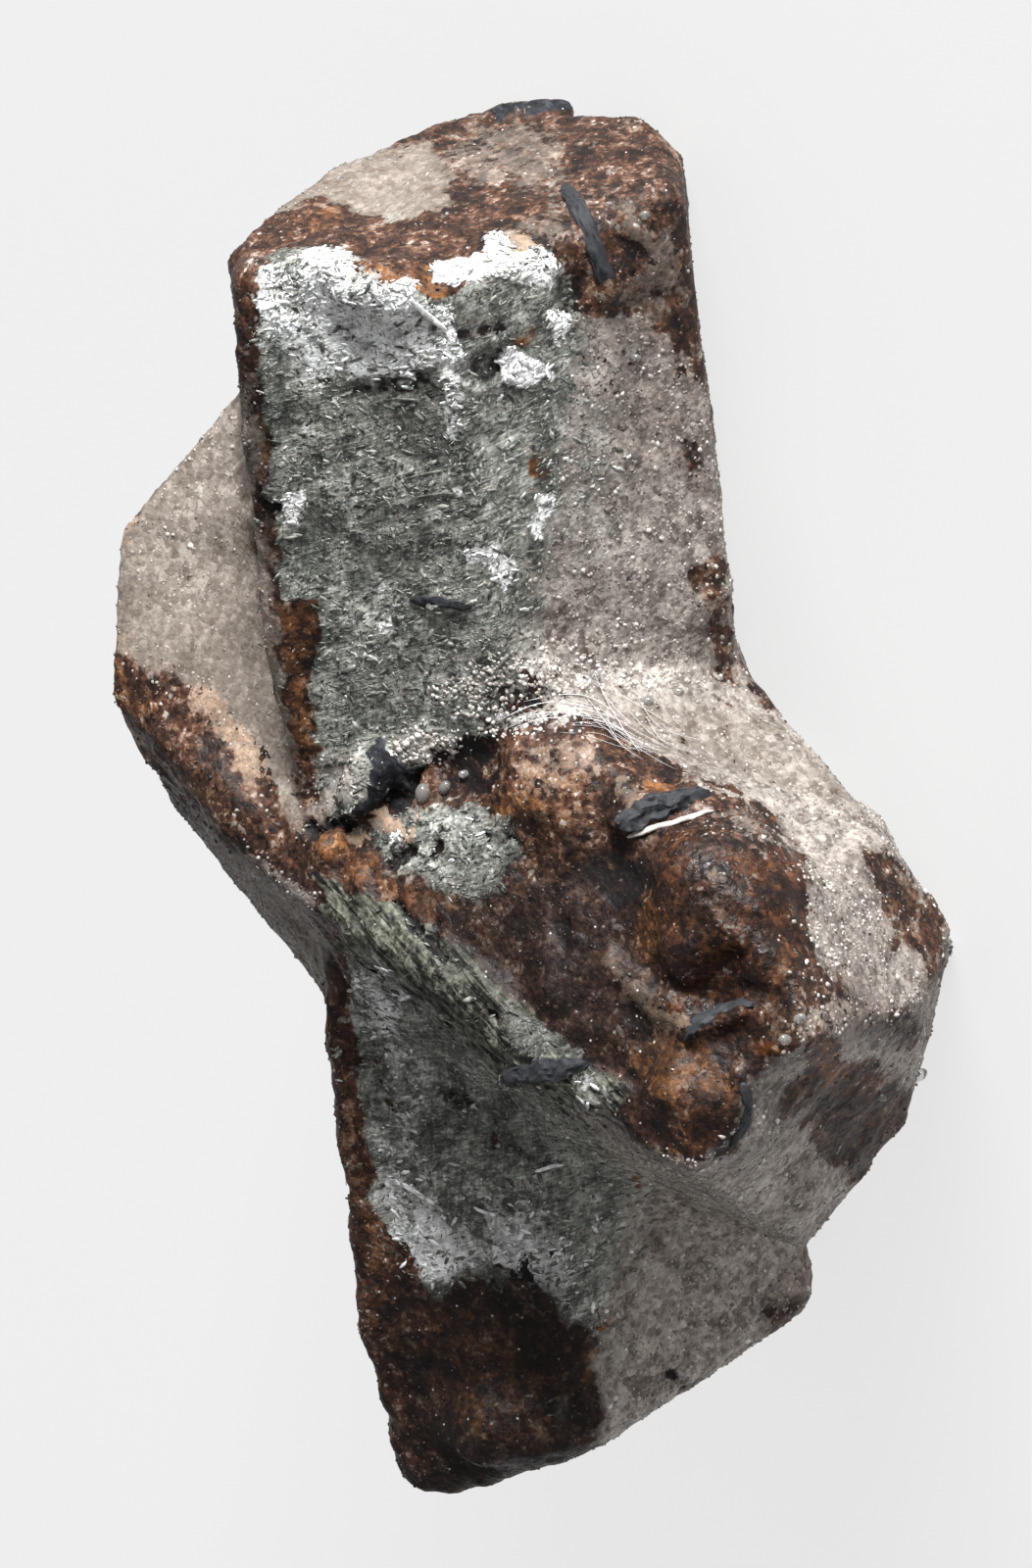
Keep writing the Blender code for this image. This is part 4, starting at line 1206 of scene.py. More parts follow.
def skin_material(colours):
    """Every finish of the skin in one material, shared out by the layers painted on the mesh."""
    finish = Finish("staurolite_skin", Specular_IOR_Level=0.18)
    spot = finish.node("ShaderNodeTexCoord", "Object", {})
    grain = finish.cells(spot, 1 / GRAIN)
    grain_chance = finish.channel(grain, "Red")
    other_chance = finish.channel(grain, "Green")
    speck = finish.cells(spot, 1 / SPECK)
    speck_chance = finish.channel(speck, "Red")
    glint_chance = finish.channel(speck, "Blue")
    across = face_axes("front left", STREAK_RISE)
    leaf_chance = finish.channel(finish.cells(finish.stretched(spot, across, LEAF), 1.0), "Red")
    streak = finish.noise(finish.stretched(spot, across, STREAK), 1.0)
    feather = finish.noise(finish.stretched(spot, face_axes("front left", FEATHER_RISE), FEATHER), 1.0)
    layer_chance = finish.channel(finish.cells(finish.stretched(spot, FRAMES["second"], LAYER), 1.0), "Red")
    cloud = finish.noise(spot, CLOUD)
    blotch = finish.noise(spot, BLOTCH)
    fine = finish.noise(spot, FINE)
    ragged = finish.noise(spot, RAGGED, 2.0)
    patterns = {
        "grain": 0.30 * grain_chance + 0.22 * speck_chance + 0.12 * fine + 0.16 * blotch + 0.20 * cloud,
        "crumb": 0.24 * other_chance + 0.20 * speck_chance + 0.12 * fine + 0.26 * blotch + 0.18 * cloud
                 + 0.18 * finish.between(glint_chance, 0.86, 1.0) - 0.02,
        "leaf": 0.12 * leaf_chance + 0.14 * speck_chance + 0.20 * streak + 0.14 * feather + 0.20 * blotch
                + 0.20 * cloud,
        "layers": 0.40 * layer_chance + 0.22 * speck_chance + 0.28 * fine + 0.10 * cloud,
    }
    total = tint = rough = None
    wander = RAGGED_FINE * (ragged - 0.5) + RAGGED_GRAIN * (grain_chance - 0.5)
    wander = wander + RAGGED_BLOTCH * (blotch - 0.5)
    for name, look in LOOKS.items():
        share = finish.between(finish.layer(name) + wander, SHARE_FROM, SHARE_FULL)
        colour = finish.shades(patterns[look.pattern], look, colours)
        if total is None:
            total, tint, rough = share + 0.001, colour, look.roughness
        else:
            total = total + share
            part = share / total
            tint = finish.mix(part, tint, colour)
            rough = rough + part * (look.roughness - rough)
    # Painted shade: the colour is darkened towards the shade colour as far as the shade layer says
    shaded_tint = finish.mix(finish.layer("painted_shade"), tint, linear(colours["grime"]))
    # Painted glints: a few specks get a white dot in the colour, standing for light caught by the grains
    dot = finish.between(finish.cells(spot, 1 / SPECK, "Distance"), GLINT_SIZE, 0.5 * GLINT_SIZE)
    glint = dot * finish.between(glint_chance, 1.0 - GLINT_SHARE, 1.01 - GLINT_SHARE)
    finish.feed("Base Color", finish.mix(GLINT_WHITE * glint, shaded_tint, linear(colours["white"])))
    finish.feed("Roughness", rough + 0.25 * (speck_chance - 0.5))
    dome = 1.0 - finish.cells(spot, 1 / GRAIN, "Distance")
    flaky = finish.layer("mica") + finish.layer("silver")
    leafy = flaky * (0.25 * leaf_chance + 0.25 * streak)
    height = 0.6 * dome * (1.0 - flaky) + 0.5 * fine + 0.3 * speck_chance + leafy
    bump = finish.node("ShaderNodeBump", "Normal", {}, Height=height, Strength=0.9, Distance=SKIN_BUMP)
    finish.feed("Normal", bump)
    return finish.material


def small_material(name, look, colours, **constants):
    """A look for small pieces, each with its own tone."""
    finish = Finish(name, Specular_IOR_Level=0.45, **constants)
    spot = finish.node("ShaderNodeTexCoord", "Object", {})
    fine = finish.noise(spot, 0.10 * MM)
    colour = finish.shades(finish.layer("tone") + 0.25 * (fine - 0.5), look, colours)
    # Painted shade from the skin darkens each piece's colour
    finish.feed("Base Color", finish.mix(finish.layer("painted_shade"), colour, linear(colours["grime"])))
    finish.feed("Roughness", look.roughness + 0.2 * (fine - 0.5))
    bump = finish.node("ShaderNodeBump", "Normal", {}, Height=fine, Strength=0.4, Distance=SMALL_BUMP)
    finish.feed("Normal", bump)
    return finish.material


def clear_material():
    """Clear quartz."""
    return Finish("clear_quartz", Base_Color=(0.80, 0.79, 0.77, 1.0), Roughness=0.15, IOR=1.54,
                  Transmission_Weight=0.85).material


def lint_material():
    """White lint."""
    return Finish("lint", Base_Color=(0.86, 0.86, 0.86, 1.0), Roughness=0.6).material


def new_piece(obj, name, material):
    """Name a finished piece, give it its material and let it ride on the crystal."""
    obj.name = name
    obj.data.name = name
    obj.data.materials.clear()
    obj.data.materials.append(material)
    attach(obj, BODY)


def object_from_arrays(name, spots, faces):
    """A mesh object from points in millimetres and equally sized faces."""
    mesh = bpy.data.meshes.new(name)
    corners = faces.shape[1]
    mesh.vertices.add(len(spots))
    write_spots(mesh, spots)
    mesh.loops.add(faces.size)
    mesh.loops.foreach_set("vertex_index", faces.astype(np.int32).ravel())
    mesh.polygons.add(len(faces))
    mesh.polygons.foreach_set("loop_start", np.arange(0, faces.size, corners, dtype=np.int32))
    mesh.update(calc_edges=True)
    mesh.validate()
    obj = bpy.data.objects.new(name, mesh)
    bpy.context.scene.collection.objects.link(obj)
    return obj


def triangles_of(obj):
    """Points and triangles of a small template mesh, whose object is then removed."""
    only(obj)
    bpy.ops.object.mode_set(mode="EDIT")
    bpy.ops.mesh.select_all(action="SELECT")
    bpy.ops.mesh.quads_convert_to_tris()
    bpy.ops.object.mode_set(mode="OBJECT")
    spots = read_vectors(obj.data, "co")
    faces = np.array([tuple(face.vertices) for face in obj.data.polygons])
    bpy.data.objects.remove(obj)
    return spots, faces


def grain_template(seed):
    """An angular grain, one unit across its radius."""
    bpy.ops.mesh.primitive_ico_sphere_add(subdivisions=1, radius=1.0)
    grain = bpy.context.active_object
    only(grain)
    bpy.ops.object.mode_set(mode="EDIT")
    bpy.ops.mesh.select_all(action="SELECT")
    bpy.ops.transform.vertex_random(offset=GRAIN_UNEVEN, seed=seed)
    bpy.ops.object.mode_set(mode="OBJECT")
    return triangles_of(grain)


def flake_template(seed):
    """A thin six-cornered mica sliver, one unit in radius and narrowed across."""
    bpy.ops.mesh.primitive_cylinder_add(vertices=6, radius=1.0, depth=FLAKE_DEPTH)
    flake = bpy.context.active_object
    only(flake)
    bpy.ops.object.mode_set(mode="EDIT")
    bpy.ops.mesh.select_all(action="SELECT")
    bpy.ops.transform.vertex_random(offset=FLAKE_UNEVEN, seed=seed)
    bpy.ops.transform.resize(value=(1.0, FLAKE_WIDTH, 1.0))
    bpy.ops.object.mode_set(mode="OBJECT")
    return triangles_of(flake)


def turned(normals, rng, tilt, lengths, widths, heights, run=(0.0, 0.0, 0.0)):
    """A turning and stretching matrix for each small piece, lying on its normal with a random tilt.

    A run makes the pieces lie along that direction, the more so the longer it is.
    """
    count = len(normals)
    up = normals + tilt * rng.normal(size=(count, 3))
    up /= np.linalg.norm(up, axis=1)[:, None]
    along = np.cross(up, np.cross(rng.normal(size=(count, 3)) + run, up))
    along /= np.linalg.norm(along, axis=1)[:, None]
    across = np.cross(up, along)
    return np.stack((along * lengths[:, None], across * widths[:, None], up * heights[:, None]), axis=2)


def spread(name, templates, middles, turns, painted_shade, rng, material):
    """Copies of the templates in one mesh, each with its own turn and a tone close to its neighbours'."""
    tones = TONE_MIDDLE + TONE_SPREAD * rng.normal(size=len(middles))
    tones += TONE_CLOUD * ripple(middles, TONE_CLOUD_SIZE, TONE_SEED, 3)
    spots, faces, shades, painted_shades = [], [], [], []
    kinds = rng.integers(0, len(templates), len(middles))
    start = 0
    for kind, (template_spots, template_faces) in enumerate(templates):
        chosen = np.nonzero(kinds == kind)[0]
        placed = np.einsum("nij,vj->nvi", turns[chosen], template_spots) + middles[chosen][:, None, :]
        shifts = start + len(template_spots) * np.arange(len(chosen))
        faces.append((template_faces[None] + shifts[:, None, None]).reshape(-1, 3))
        spots.append(placed.reshape(-1, 3))
        shades.append(np.repeat(tones[chosen], len(template_spots)))
        painted_shades.append(np.repeat(painted_shade[chosen], len(template_spots)))
        start += placed.shape[0] * placed.shape[1]
    obj = object_from_arrays(name, np.concatenate(spots), np.concatenate(faces))
    write_layer(obj.data, "tone", np.concatenate(shades))
    # Each piece keeps the painted shade of the skin where it lies
    write_layer(obj.data, "painted_shade", np.concatenate(painted_shades))
    new_piece(obj, name, material)


def pick(skin, weights, count, rng):
    """Random places on the skin, likelier where the weight is high, off the points themselves."""
    chance = np.clip(weights, 0.0, None) * skin.areas
    chosen = rng.choice(len(chance), size=count, p=chance / chance.sum())
    sideways = rng.normal(scale=STRAY, size=(count, 3))
    normals = skin.normals[chosen]
    sideways -= np.einsum("ij,ij->i", sideways, normals)[:, None] * normals
    return chosen, skin.spots[chosen] + sideways


def point_areas(mesh):
    """The area of the surface around each point."""
    areas = np.zeros(len(mesh.vertices))
    for face in mesh.polygons:
        share = face.area / len(face.vertices)
        for vertex in face.vertices:
            areas[vertex] += share
    return areas


def blade_template(sides, cuts):
    """A round bar from x = -0.5 to 0.5 and 1 across, with this many sides and rings."""
    lying = (0.0, math.pi / 2, 0.0)
    bpy.ops.mesh.primitive_cylinder_add(vertices=sides, radius=0.5, depth=1.0, rotation=lying)
    bar = bpy.context.active_object
    only(bar)
    bpy.ops.object.transform_apply(location=True, rotation=True, scale=True)
    for edge in bar.data.edges:
        ends = [bar.data.vertices[index].co for index in edge.vertices]
        edge.select = abs(ends[0].x - ends[1].x) > 0.5
    bpy.ops.object.mode_set(mode="EDIT")
    bpy.ops.mesh.select_mode(type="EDGE")
    bpy.ops.mesh.subdivide(number_cuts=cuts)
    bpy.ops.object.mode_set(mode="OBJECT")
    return triangles_of(bar)


def along_path(points, shares):
    """Places at these shares, from 0 to 1, of the way along a path of points."""
    steps = np.linalg.norm(np.diff(points, axis=0), axis=1)
    reached = np.concatenate(((0.0,), np.cumsum(steps)))
    return np.column_stack([np.interp(shares * reached[-1], reached, points[:, axis]) for axis in range(3)])


def lay_blade(blade, template, blunt):
    """Bend the template along a blade's path on the skin. Returns its points in millimetres."""
    knots = np.array(blade.path, float)
    knot_shares = np.linspace(0.0, 1.0, len(knots))
    fine_shares = np.linspace(0.0, 1.0, PATH_POINTS)
    pixels = np.column_stack([np.interp(fine_shares, knot_shares, knots[:, axis]) for axis in range(2)])
    for _ in range(PIXEL_PASSES):
        pixels[1:-1] = 0.25 * pixels[:-2] + 0.5 * pixels[1:-1] + 0.25 * pixels[2:]
    hits, outward = [], []
    for x, y in pixels:
        spot, normal = on_skin(x, y)
        hits.append(spot)
        outward.append(normal)
    points, outward = np.array(hits), np.array(outward)
    for _ in range(POINT_PASSES):
        points[1:-1] = 0.25 * points[:-2] + 0.5 * points[1:-1] + 0.25 * points[2:]
    up = outward.mean(axis=0)
    up /= np.linalg.norm(up)
    spots, _ = template
    shares = spots[:, 0] + 0.5
    middles = along_path(points, shares)
    runs = along_path(points, np.minimum(shares + RUN_STEP, 1.0))
    runs -= along_path(points, np.maximum(shares - RUN_STEP, 0.0))
    runs /= np.linalg.norm(runs, axis=1)[:, None]
    across = np.cross(up, runs)
    across /= np.linalg.norm(across, axis=1)[:, None]
    lift = np.cross(runs, across)
    thin = (1.0 - NARROWING * np.abs(2.0 * shares - 1.0) ** blunt)[:, None]
    return (middles + across * spots[:, 1:2] * blade.width * thin
            + lift * (spots[:, 2:3] * blade.thickness * thin + blade.lift))


def on_skin(x, y):
    """The spot and the outward direction of the skin behind a pixel of the picture.

    A pixel just off the crystals is moved towards the crossing until it meets them.
    """
    pixel = np.array((x, y), float)
    for share in np.linspace(0.0, 0.2, 41):
        start, direction = pixel_ray(*(pixel + share * (CROSSING_PIXEL - pixel)))
        spot, normal, _, _ = made["tree"].ray_cast(Vector(start), Vector(direction))
        if spot is not None:
            return np.array(spot), np.array(normal)
    raise ValueError(f"No skin behind pixel {x}, {y}")


# What later pieces need from the skin
made = {}


class CrossSizes(bpy.types.PropertyGroup):
    """Sizes of the skin and of what is set on it."""

    voxel: bpy.props.FloatProperty(
        name="Skin Grid", description="Spacing of the skin's points", default=0.116 * MM,
        unit="LENGTH", precision=6)
    smoothing: bpy.props.IntProperty(
        name="Wear", description="How often the skin is smoothed before it gets its relief", default=5, min=0)
    flakes: bpy.props.IntProperty(
        name="Mica Flakes", description="Number of mica flakes in each of two sizes", default=8000, min=1)
    leaves: bpy.props.IntProperty(
        name="Silver Leaves", description="Number of bright mica leaves", default=2200, min=1)
    grains: bpy.props.IntProperty(
        name="Sand Grains", description="Number of sand grains in each of two sizes", default=9500, min=1)
    quartz: bpy.props.IntProperty(
        name="Quartz Grains", description="Number of white grains", default=2500, min=1)
    crumbs: bpy.props.IntProperty(
        name="Brown Crumbs", description="Number of crumbs on the bare stone", default=9500, min=1)
    floor: bpy.props.FloatProperty(
        name="Floor", description="Width of the pale floor", default=4.0, unit="LENGTH")


def colour_property(name, description, red, green, blue):
    """A display colour that a user can change, given as values from 0 to 255."""
    return bpy.props.FloatVectorProperty(
        name=name, description=description, subtype="COLOR_GAMMA", size=3, min=0.0, max=1.0,
        default=(red / 255, green / 255, blue / 255))


class CrossColours(bpy.types.PropertyGroup):
    """Display colours of the finishes."""

    stone_dark: colour_property("Dark Stone", "Deepest brown of the crystal", 25, 16, 14)
    stone: colour_property("Stone", "Brown of the crystal", 50, 33, 26)
    stone_red: colour_property("Red Stone", "Reddish parts of the crystal", 77, 50, 37)
    stone_light: colour_property("Light Stone", "Pale crumbs on the crystal", 114, 89, 73)
    resin_dark: colour_property("Dark Resin", "Shaded part of the smooth knob", 25, 16, 13)
    resin: colour_property("Resin", "Brown of the smooth knob", 42, 26, 19)
    resin_red: colour_property("Red Resin", "Reddish brown of the smooth knob", 70, 41, 27)
    resin_light: colour_property("Light Resin", "Clearest part of the smooth knob", 104, 68, 43)
    rust: colour_property("Rust", "Rusty stains", 86, 55, 34)
    rust_light: colour_property("Light Rust", "Fresher rust", 118, 77, 43)
    ochre: colour_property("Ochre", "Brightest rust", 154, 112, 70)
    amber: colour_property("Amber", "Clear orange spots", 122, 66, 36)
    mica_dark: colour_property("Dark Mica", "Gaps between the flakes", 46, 48, 45)
    mica_deep: colour_property("Deep Mica", "Shaded flakes", 84, 86, 81)
    mica: colour_property("Mica", "Grey of the mica coat", 120, 122, 115)
    mica_light: colour_property("Light Mica", "Paler flakes", 162, 163, 155)
    # Silver and white are partly the own colour of pale mica and quartz and partly painted glare; white also
    # makes the painted glints
    silver: colour_property("Silver", "Bright flakes", 220, 223, 223)
    white: colour_property("White", "Brightest leaves and grains", 250, 250, 250)
    sand_dark: colour_property("Dark Sand", "Darkest grains", 82, 72, 66)
    sand_grey: colour_property("Grey Sand", "Grey grains", 112, 105, 99)
    sand: colour_property("Sand", "Most of the grains", 141, 134, 128)
    sand_light: colour_property("Light Sand", "Pale grains", 168, 160, 152)
    quartz: colour_property("Quartz", "White grains", 192, 186, 180)
    cream: colour_property("Cream", "Pale pinkish crust", 140, 118, 100)
    cream_light: colour_property("Light Cream", "Palest crust", 168, 145, 126)
    dust_dark: colour_property("Dark Dust", "Shaded beige dust", 90, 79, 70)
    dust: colour_property("Dust", "Smooth beige dust", 118, 109, 101)
    dust_light: colour_property("Light Dust", "Palest dust", 151, 141, 132)
    schist_deep: colour_property("Deep Schist", "Shaded layers", 52, 53, 46)
    schist: colour_property("Schist", "Grey-green layers", 92, 94, 83)
    schist_light: colour_property("Light Schist", "Paler layers", 142, 143, 129)
    slate: colour_property("Slate", "Bluish laths and plates", 30, 32, 37)
    slate_light: colour_property("Light Slate", "Worn laths", 66, 69, 76)
    black: colour_property("Black", "Cracks and hollows", 17, 16, 18)
    # The colour that painted shade darkens towards
    grime: colour_property("Painted Shade", "What darkens the shaded parts", 14, 11, 10)
    floor: colour_property("Floor", "The plain floor", 240, 240, 240)


def chosen_colours():
    """The colours of the panel by name."""
    settings = bpy.context.scene.staurolite_colours
    return {name: tuple(getattr(settings, name)) for name in CrossColours.__annotations__}


class STAUROLITE_OT_skin(bpy.types.Operator):
    """Make the fine skin of the crystals and paint its finishes"""

    bl_idname = "staurolite.skin"
    bl_label = "Crystal Skin"

    def execute(self, context):
        sizes = context.scene.staurolite_sizes
        obj = bpy.data.objects.new("crystal_skin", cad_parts[NODE].data.copy())
        context.scene.collection.objects.link(obj)
        only(obj)
        bpy.ops.object.mode_set(mode="EDIT")
        bpy.ops.mesh.select_all(action="SELECT")
        bpy.ops.mesh.remove_doubles(threshold=0.001 * MM)
        bpy.ops.object.mode_set(mode="OBJECT")
        apply_modifier(obj, "REMESH", mode="VOXEL", voxel_size=sizes.voxel)
        apply_modifier(obj, "SMOOTH", factor=0.5, iterations=sizes.smoothing)
        write_spots(obj.data, wear_corners(read_vectors(obj.data, "co") / MM))
        skin = Skin(obj.data)
        coat = Coat(len(skin.spots))
        lay_crusts(coat, skin)
        lay_patches(coat, skin)
        height = relief(coat, skin)
        low, high = (np.array(corner) / MM for corner in SOLID_BOX)
        moved = np.clip(skin.spots + height[:, None] * skin.normals, low, high)
        write_spots(obj.data, moved)
        for finish, share in coat.shares.items():
            write_layer(obj.data, finish, share)
        # The painted shade is stored with the finishes
        write_layer(obj.data, "painted_shade", coat.painted_shade)
        obj.data.shade_smooth()
        new_piece(obj, "crystal_skin", skin_material(chosen_colours()))
        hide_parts(NODE)
        skin.spots = moved
        skin.normals = read_vectors(obj.data, "normal")
        skin.areas = point_areas(obj.data)
        made["skin"] = skin
        made["coat"] = coat
        made["tree"] = surface_tree(moved, obj.data)
        return {"FINISHED"}


class STAUROLITE_OT_laths(bpy.types.Operator):
    """Lay the slate laths, the white sliver and the bright leaf edges on the skin"""

    bl_idname = "staurolite.laths"
    bl_label = "Laths and Slivers"

    def execute(self, context):
        colours = chosen_colours()
        template = blade_template(LATH_SIDES, LATH_CUTS)
        finishes = {}
        for number, blade in enumerate(BLADES):
            if blade.finish not in finishes:
                finishes[blade.finish] = small_material(f"{blade.finish}_lath", LOOKS[blade.finish], colours)
            spots = lay_blade(blade, template, LATH_BLUNT)
            seeds = [BLADE_ROUGH_SEED + number + shift for shift in (0, 20, 40)]
            push = np.column_stack([ripple(spots, LATH_ROUGH_SIZE, seed) for seed in seeds])
            spots = spots + LATH_ROUGH * blade.width * push
            obj = object_from_arrays(blade.name, spots, template[1])
            mottle = ripple(spots, LATH_TONE_SIZE, BLADE_TONE_SEED + number)
            write_layer(obj.data, "tone", LATH_TONE + LATH_TONE_SPREAD * mottle)
            # Laths get no painted shade
            write_layer(obj.data, "painted_shade", np.zeros(len(spots)))
            new_piece(obj, blade.name, finishes[blade.finish])
        return {"FINISHED"}


class STAUROLITE_OT_lint(bpy.types.Operator):
    """Catch a few hairs of lint on the head's upper edge"""

    bl_idname = "staurolite.lint"
    bl_label = "Lint"

    def execute(self, context):
        template = blade_template(HAIR_SIDES, HAIR_CUTS)
        rng = np.random.default_rng(LINT_SEED)
        laid = []
        for hair in HAIRS:
            for shift in ((0.0, 0.0), *rng.normal(scale=HAIR_SHIFT, size=(HAIR_COPIES, 2))):
                path = tuple(tuple(np.add(pixel, shift) + rng.normal(scale=HAIR_WOBBLE, size=2))
                             for pixel in hair.path)
                laid.append(lay_blade(hair._replace(path=path), template, HAIR_BLUNT))
        faces = np.concatenate([template[1] + index * len(template[0]) for index in range(len(laid))])
        obj = object_from_arrays("lint", np.concatenate(laid), faces)
        new_piece(obj, "lint", lint_material())
        return {"FINISHED"}


class STAUROLITE_OT_beads(bpy.types.Operator):
    """Set the clear quartz grains"""

    bl_idname = "staurolite.beads"
    bl_label = "Clear Grains"

    def execute(self, context):
        bpy.ops.mesh.primitive_ico_sphere_add(subdivisions=3, radius=1.0)
        template_spots, template_faces = triangles_of(context.active_object)
        spots, faces = [], []
        for number, bead in enumerate(BEADS):
            middle, normal = on_skin(*bead.pixel)
            lean = math.radians(bead.lean)
            along = VIEW @ np.array((math.cos(lean), math.sin(lean), 0.0))
            across = np.cross(normal, along)
            across /= np.linalg.norm(across)
            turn = np.column_stack((along * bead.length, across * bead.width, normal * bead.width))
            bumps = ripple(template_spots, BEAD_BUMP_SIZE, BEAD_SEED + number)
            bumpy = template_spots * (1.0 + BEAD_BUMPS * bumps)[:, None]
            spots.append(bumpy @ turn.T + middle + BEAD_RISE * bead.width * normal)
            faces.append(template_faces + number * len(template_spots))
        obj = object_from_arrays("clear_grains", np.concatenate(spots), np.concatenate(faces))
        obj.data.shade_smooth()
        new_piece(obj, "clear_grains", clear_material())
        return {"FINISHED"}


def scatter(sprinkle, templates, weight, count, rng, material, run=(0.0, 0.0, 0.0)):
    """Set small pieces on the skin, likelier where the weight is high."""
    # The skin's painted shade goes on to the pieces set on it
    skin, painted_shade = made["skin"], made["coat"].painted_shade
    chosen, middles = pick(skin, weight, count, rng)
    lengths = sprinkle.radius + sprinkle.extra * rng.random(count) ** 2
    widths = lengths * rng.uniform(sprinkle.shape[0], 1.0, count)
    heights = lengths * rng.uniform(sprinkle.shape[1], 1.0, count)
    normals = skin.normals[chosen]
    turns = turned(normals, rng, sprinkle.turn, lengths, widths, heights, run)
    middles = middles - (sprinkle.sink * lengths)[:, None] * normals
    spread(sprinkle.name, templates, middles, turns, painted_shade[chosen], rng, material)


class STAUROLITE_OT_flakes(bpy.types.Operator):
    """Scatter mica flakes and bright leaves over the mica coat"""

    bl_idname = "staurolite.flakes"
    bl_label = "Mica Flakes"

    def execute(self, context):
        sizes = context.scene.staurolite_sizes
        colours = chosen_colours()
        shares = made["coat"].shares
        rng = np.random.default_rng(FLAKE_SEED)
        slivers = [flake_template(seed) for seed in range(KINDS)]
        grey = small_material("mica_flakes", LOOKS["mica"]._replace(roughness=0.62), colours)
        # The bright leaves take the silver look, whose white is partly painted glare
        bright = small_material("silver_leaves", LOOKS["silver"], colours)
        micaceous = shares["mica"] + 0.1 * shares["schist"] + 0.3 * shares["silver"]
        run = FLAKE_RUN * face_axes("front left", STREAK_RISE)[:, 1]
        scatter(MICA_FLAKES, slivers, micaceous, sizes.flakes, rng, grey, run)
        scatter(FINE_MICA, slivers, micaceous, sizes.flakes, rng, grey, run)
        scatter(SILVER_LEAVES, slivers, shares["silver"] ** 2, sizes.leaves, rng, bright, run)
        return {"FINISHED"}


class STAUROLITE_OT_grains(bpy.types.Operator):
    """Scatter sand grains over the sandy faces and crumbs over the bare stone"""

    bl_idname = "staurolite.grains"
    bl_label = "Grains"

    def execute(self, context):
        sizes = context.scene.staurolite_sizes
        colours = chosen_colours()
        shares = made["coat"].shares
        rng = np.random.default_rng(GRAIN_SEED)
        templates = [grain_template(seed) for seed in range(KINDS)]
        finishes = {name: small_material(f"{name}_grains", LOOKS[name], colours)
                    for name in ("sand", "quartz", "stone")}
        sandy = shares["sand"] + 0.5 * shares["cream"] + 0.12 * shares["dust"]
        dusted = sandy + 0.10 * shares["mica"]
        sparkling = shares["quartz"] ** 2 + 0.006 * shares["sand"]
        crumbly = shares["stone"] + shares["rust"] + 0.3 * shares["dark"] + 0.3 * shares["resin"]
        scatter(SAND_GRAINS, templates, sandy, sizes.grains, rng, finishes["sand"])
        scatter(FINE_SAND, templates, dusted, sizes.grains, rng, finishes["sand"])
        scatter(QUARTZ_GRAINS, templates, sparkling, sizes.quartz, rng, finishes["quartz"])
        scatter(BROWN_CRUMBS, templates, crumbly, sizes.crumbs, rng, finishes["stone"])
        return {"FINISHED"}


def add_key_light():
    """The soft studio light, placed by its direction in the camera's own axes."""
    light = bpy.data.lights.new("key_light", "AREA")
    light.shape = "RECTANGLE"
    light.size = KEY_WIDTH
    light.size_y = KEY_HEIGHT
    light.energy = KEY_POWER
    obj = bpy.data.objects.new("key_light", light)
    bpy.context.scene.collection.objects.link(obj)
    direction = VIEW @ (np.array(KEY_DIRECTION) / np.linalg.norm(KEY_DIRECTION))
    obj.location = Vector(CROSSING * MM + direction * KEY_DISTANCE)
    obj.rotation_euler = Vector(-direction).to_track_quat("-Z", "Y").to_euler()


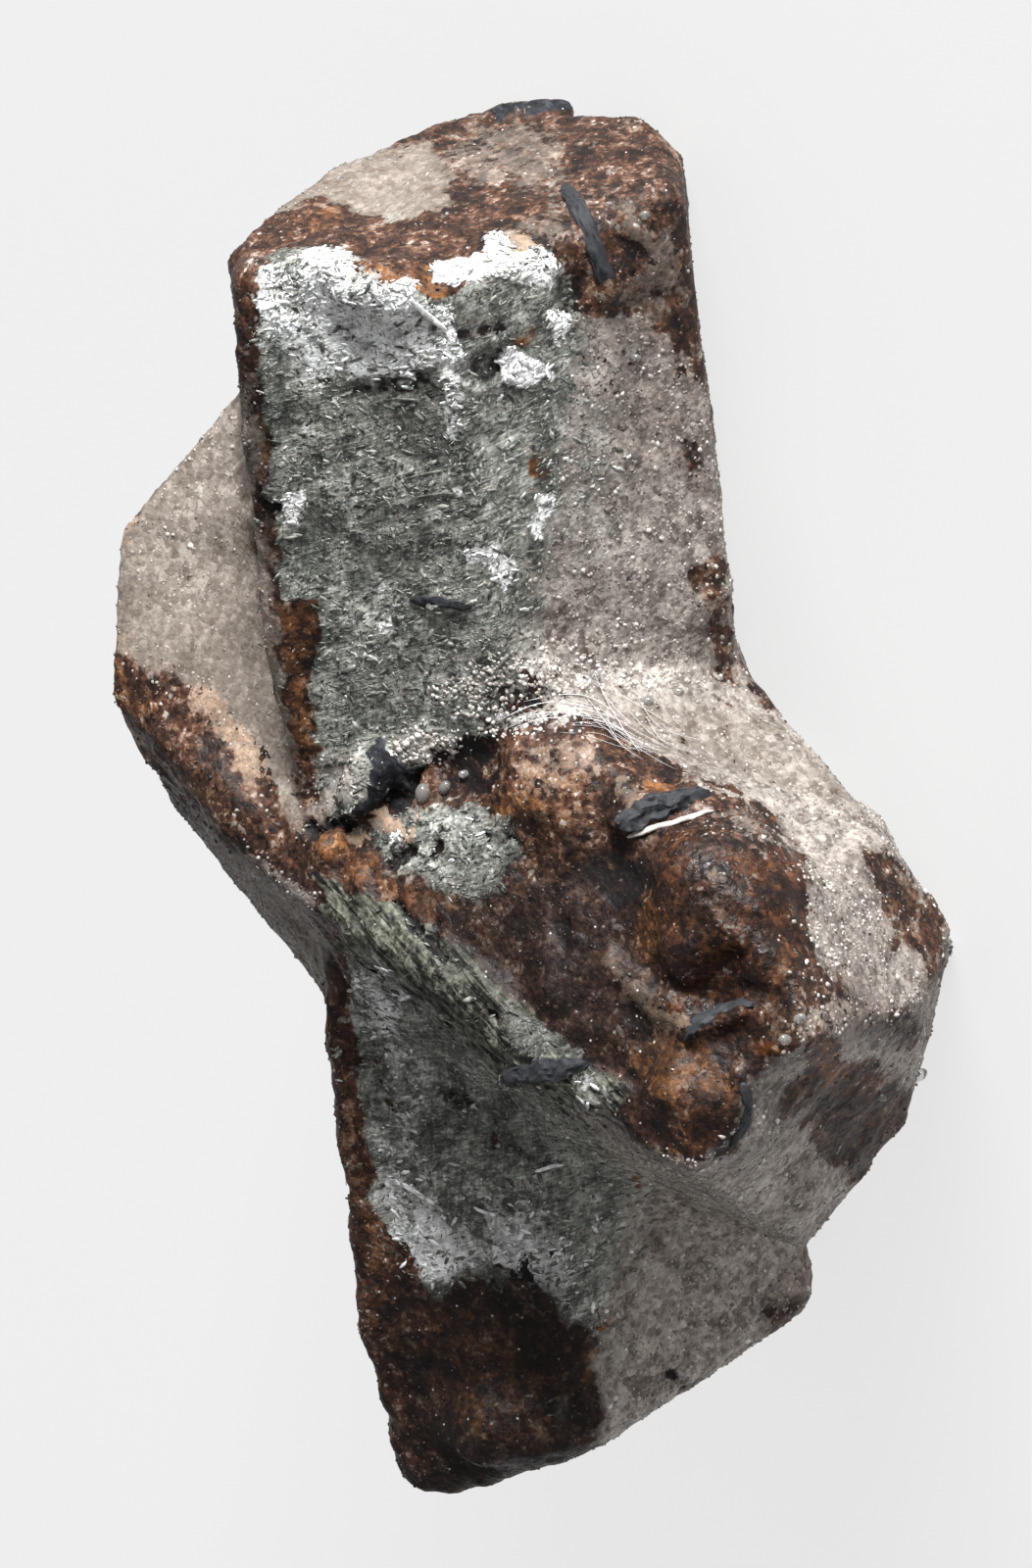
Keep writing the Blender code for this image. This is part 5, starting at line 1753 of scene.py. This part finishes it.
class STAUROLITE_OT_stage(bpy.types.Operator):
    """Set the floor, the studio light and the camera"""

    bl_idname = "staurolite.stage"
    bl_label = "Stage"

    def execute(self, context):
        sizes = context.scene.staurolite_sizes
        colours = chosen_colours()
        bpy.ops.mesh.primitive_plane_add(size=sizes.floor)
        floor = context.active_object
        floor.name = "floor"
        paper = Finish("floor_paper", Roughness=0.9, Specular_IOR_Level=0.1, Emission_Strength=PAPER_GLOW)
        paper.shader.inputs["Base Color"].default_value = PAPER
        paper.shader.inputs["Emission Color"].default_value = linear(colours["floor"])
        floor.data.materials.append(paper.material)

        world = bpy.data.worlds.new("studio")
        context.scene.world = world
        world.use_nodes = True
        background = world.node_tree.nodes["Background"]
        background.inputs["Color"].default_value = (1.0, 1.0, 1.0, 1.0)
        background.inputs["Strength"].default_value = EVEN_LIGHT
        add_key_light()

        camera_data = bpy.data.cameras.new("camera")
        camera_data.sensor_fit = "HORIZONTAL"
        camera_data.sensor_width = SENSOR_WIDTH
        camera_data.lens = SENSOR_WIDTH * VIEW_DISTANCE / (PICTURE_WIDTH / PIXELS_PER_MM)
        camera_data.clip_start = 0.01
        camera = bpy.data.objects.new("camera", camera_data)
        context.scene.collection.objects.link(camera)
        sideways = (PICTURE_WIDTH / 2 - CROSSING_PIXEL[0]) / PIXELS_PER_MM
        upwards = (CROSSING_PIXEL[1] - PICTURE_HEIGHT / 2) / PIXELS_PER_MM
        place = CROSSING + VIEW @ np.array((sideways, upwards, VIEW_DISTANCE))
        camera.matrix_world = Matrix.Translation(Vector(place * MM)) @ Matrix(VIEW.tolist()).to_4x4()
        context.scene.camera = camera
        context.scene.view_settings.view_transform = "Standard"
        return {"FINISHED"}


class STAUROLITE_PT_panel(bpy.types.Panel):
    """The cross's pieces in the order in which they are made"""

    bl_idname = "STAUROLITE_PT_panel"
    bl_label = "Staurolite Cross"
    bl_space_type = "VIEW_3D"
    bl_region_type = "UI"
    bl_category = "Staurolite"

    def draw(self, context):
        for group in (context.scene.staurolite_sizes, context.scene.staurolite_colours):
            for name in type(group).__annotations__:
                self.layout.prop(group, name)
        for operator in OPERATORS:
            self.layout.operator(operator.bl_idname)


OPERATORS = (STAUROLITE_OT_skin, STAUROLITE_OT_laths, STAUROLITE_OT_lint, STAUROLITE_OT_beads,
             STAUROLITE_OT_flakes, STAUROLITE_OT_grains, STAUROLITE_OT_stage)
CLASSES = (CrossSizes, CrossColours, *OPERATORS, STAUROLITE_PT_panel)


def register():
    """Make the classes known to Blender."""
    for cls in CLASSES:
        bpy.utils.register_class(cls)
    bpy.types.Scene.staurolite_sizes = bpy.props.PointerProperty(type=CrossSizes)
    bpy.types.Scene.staurolite_colours = bpy.props.PointerProperty(type=CrossColours)


def unregister():
    """Take the classes out again."""
    del bpy.types.Scene.staurolite_colours
    del bpy.types.Scene.staurolite_sizes
    for cls in reversed(CLASSES):
        bpy.utils.unregister_class(cls)


def main():
    """Make every piece in order."""
    register()
    bpy.ops.staurolite.skin()
    bpy.ops.staurolite.laths()
    bpy.ops.staurolite.lint()
    bpy.ops.staurolite.beads()
    bpy.ops.staurolite.flakes()
    bpy.ops.staurolite.grains()
    bpy.ops.staurolite.stage()
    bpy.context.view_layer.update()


if __name__ == "__main__":
    main()
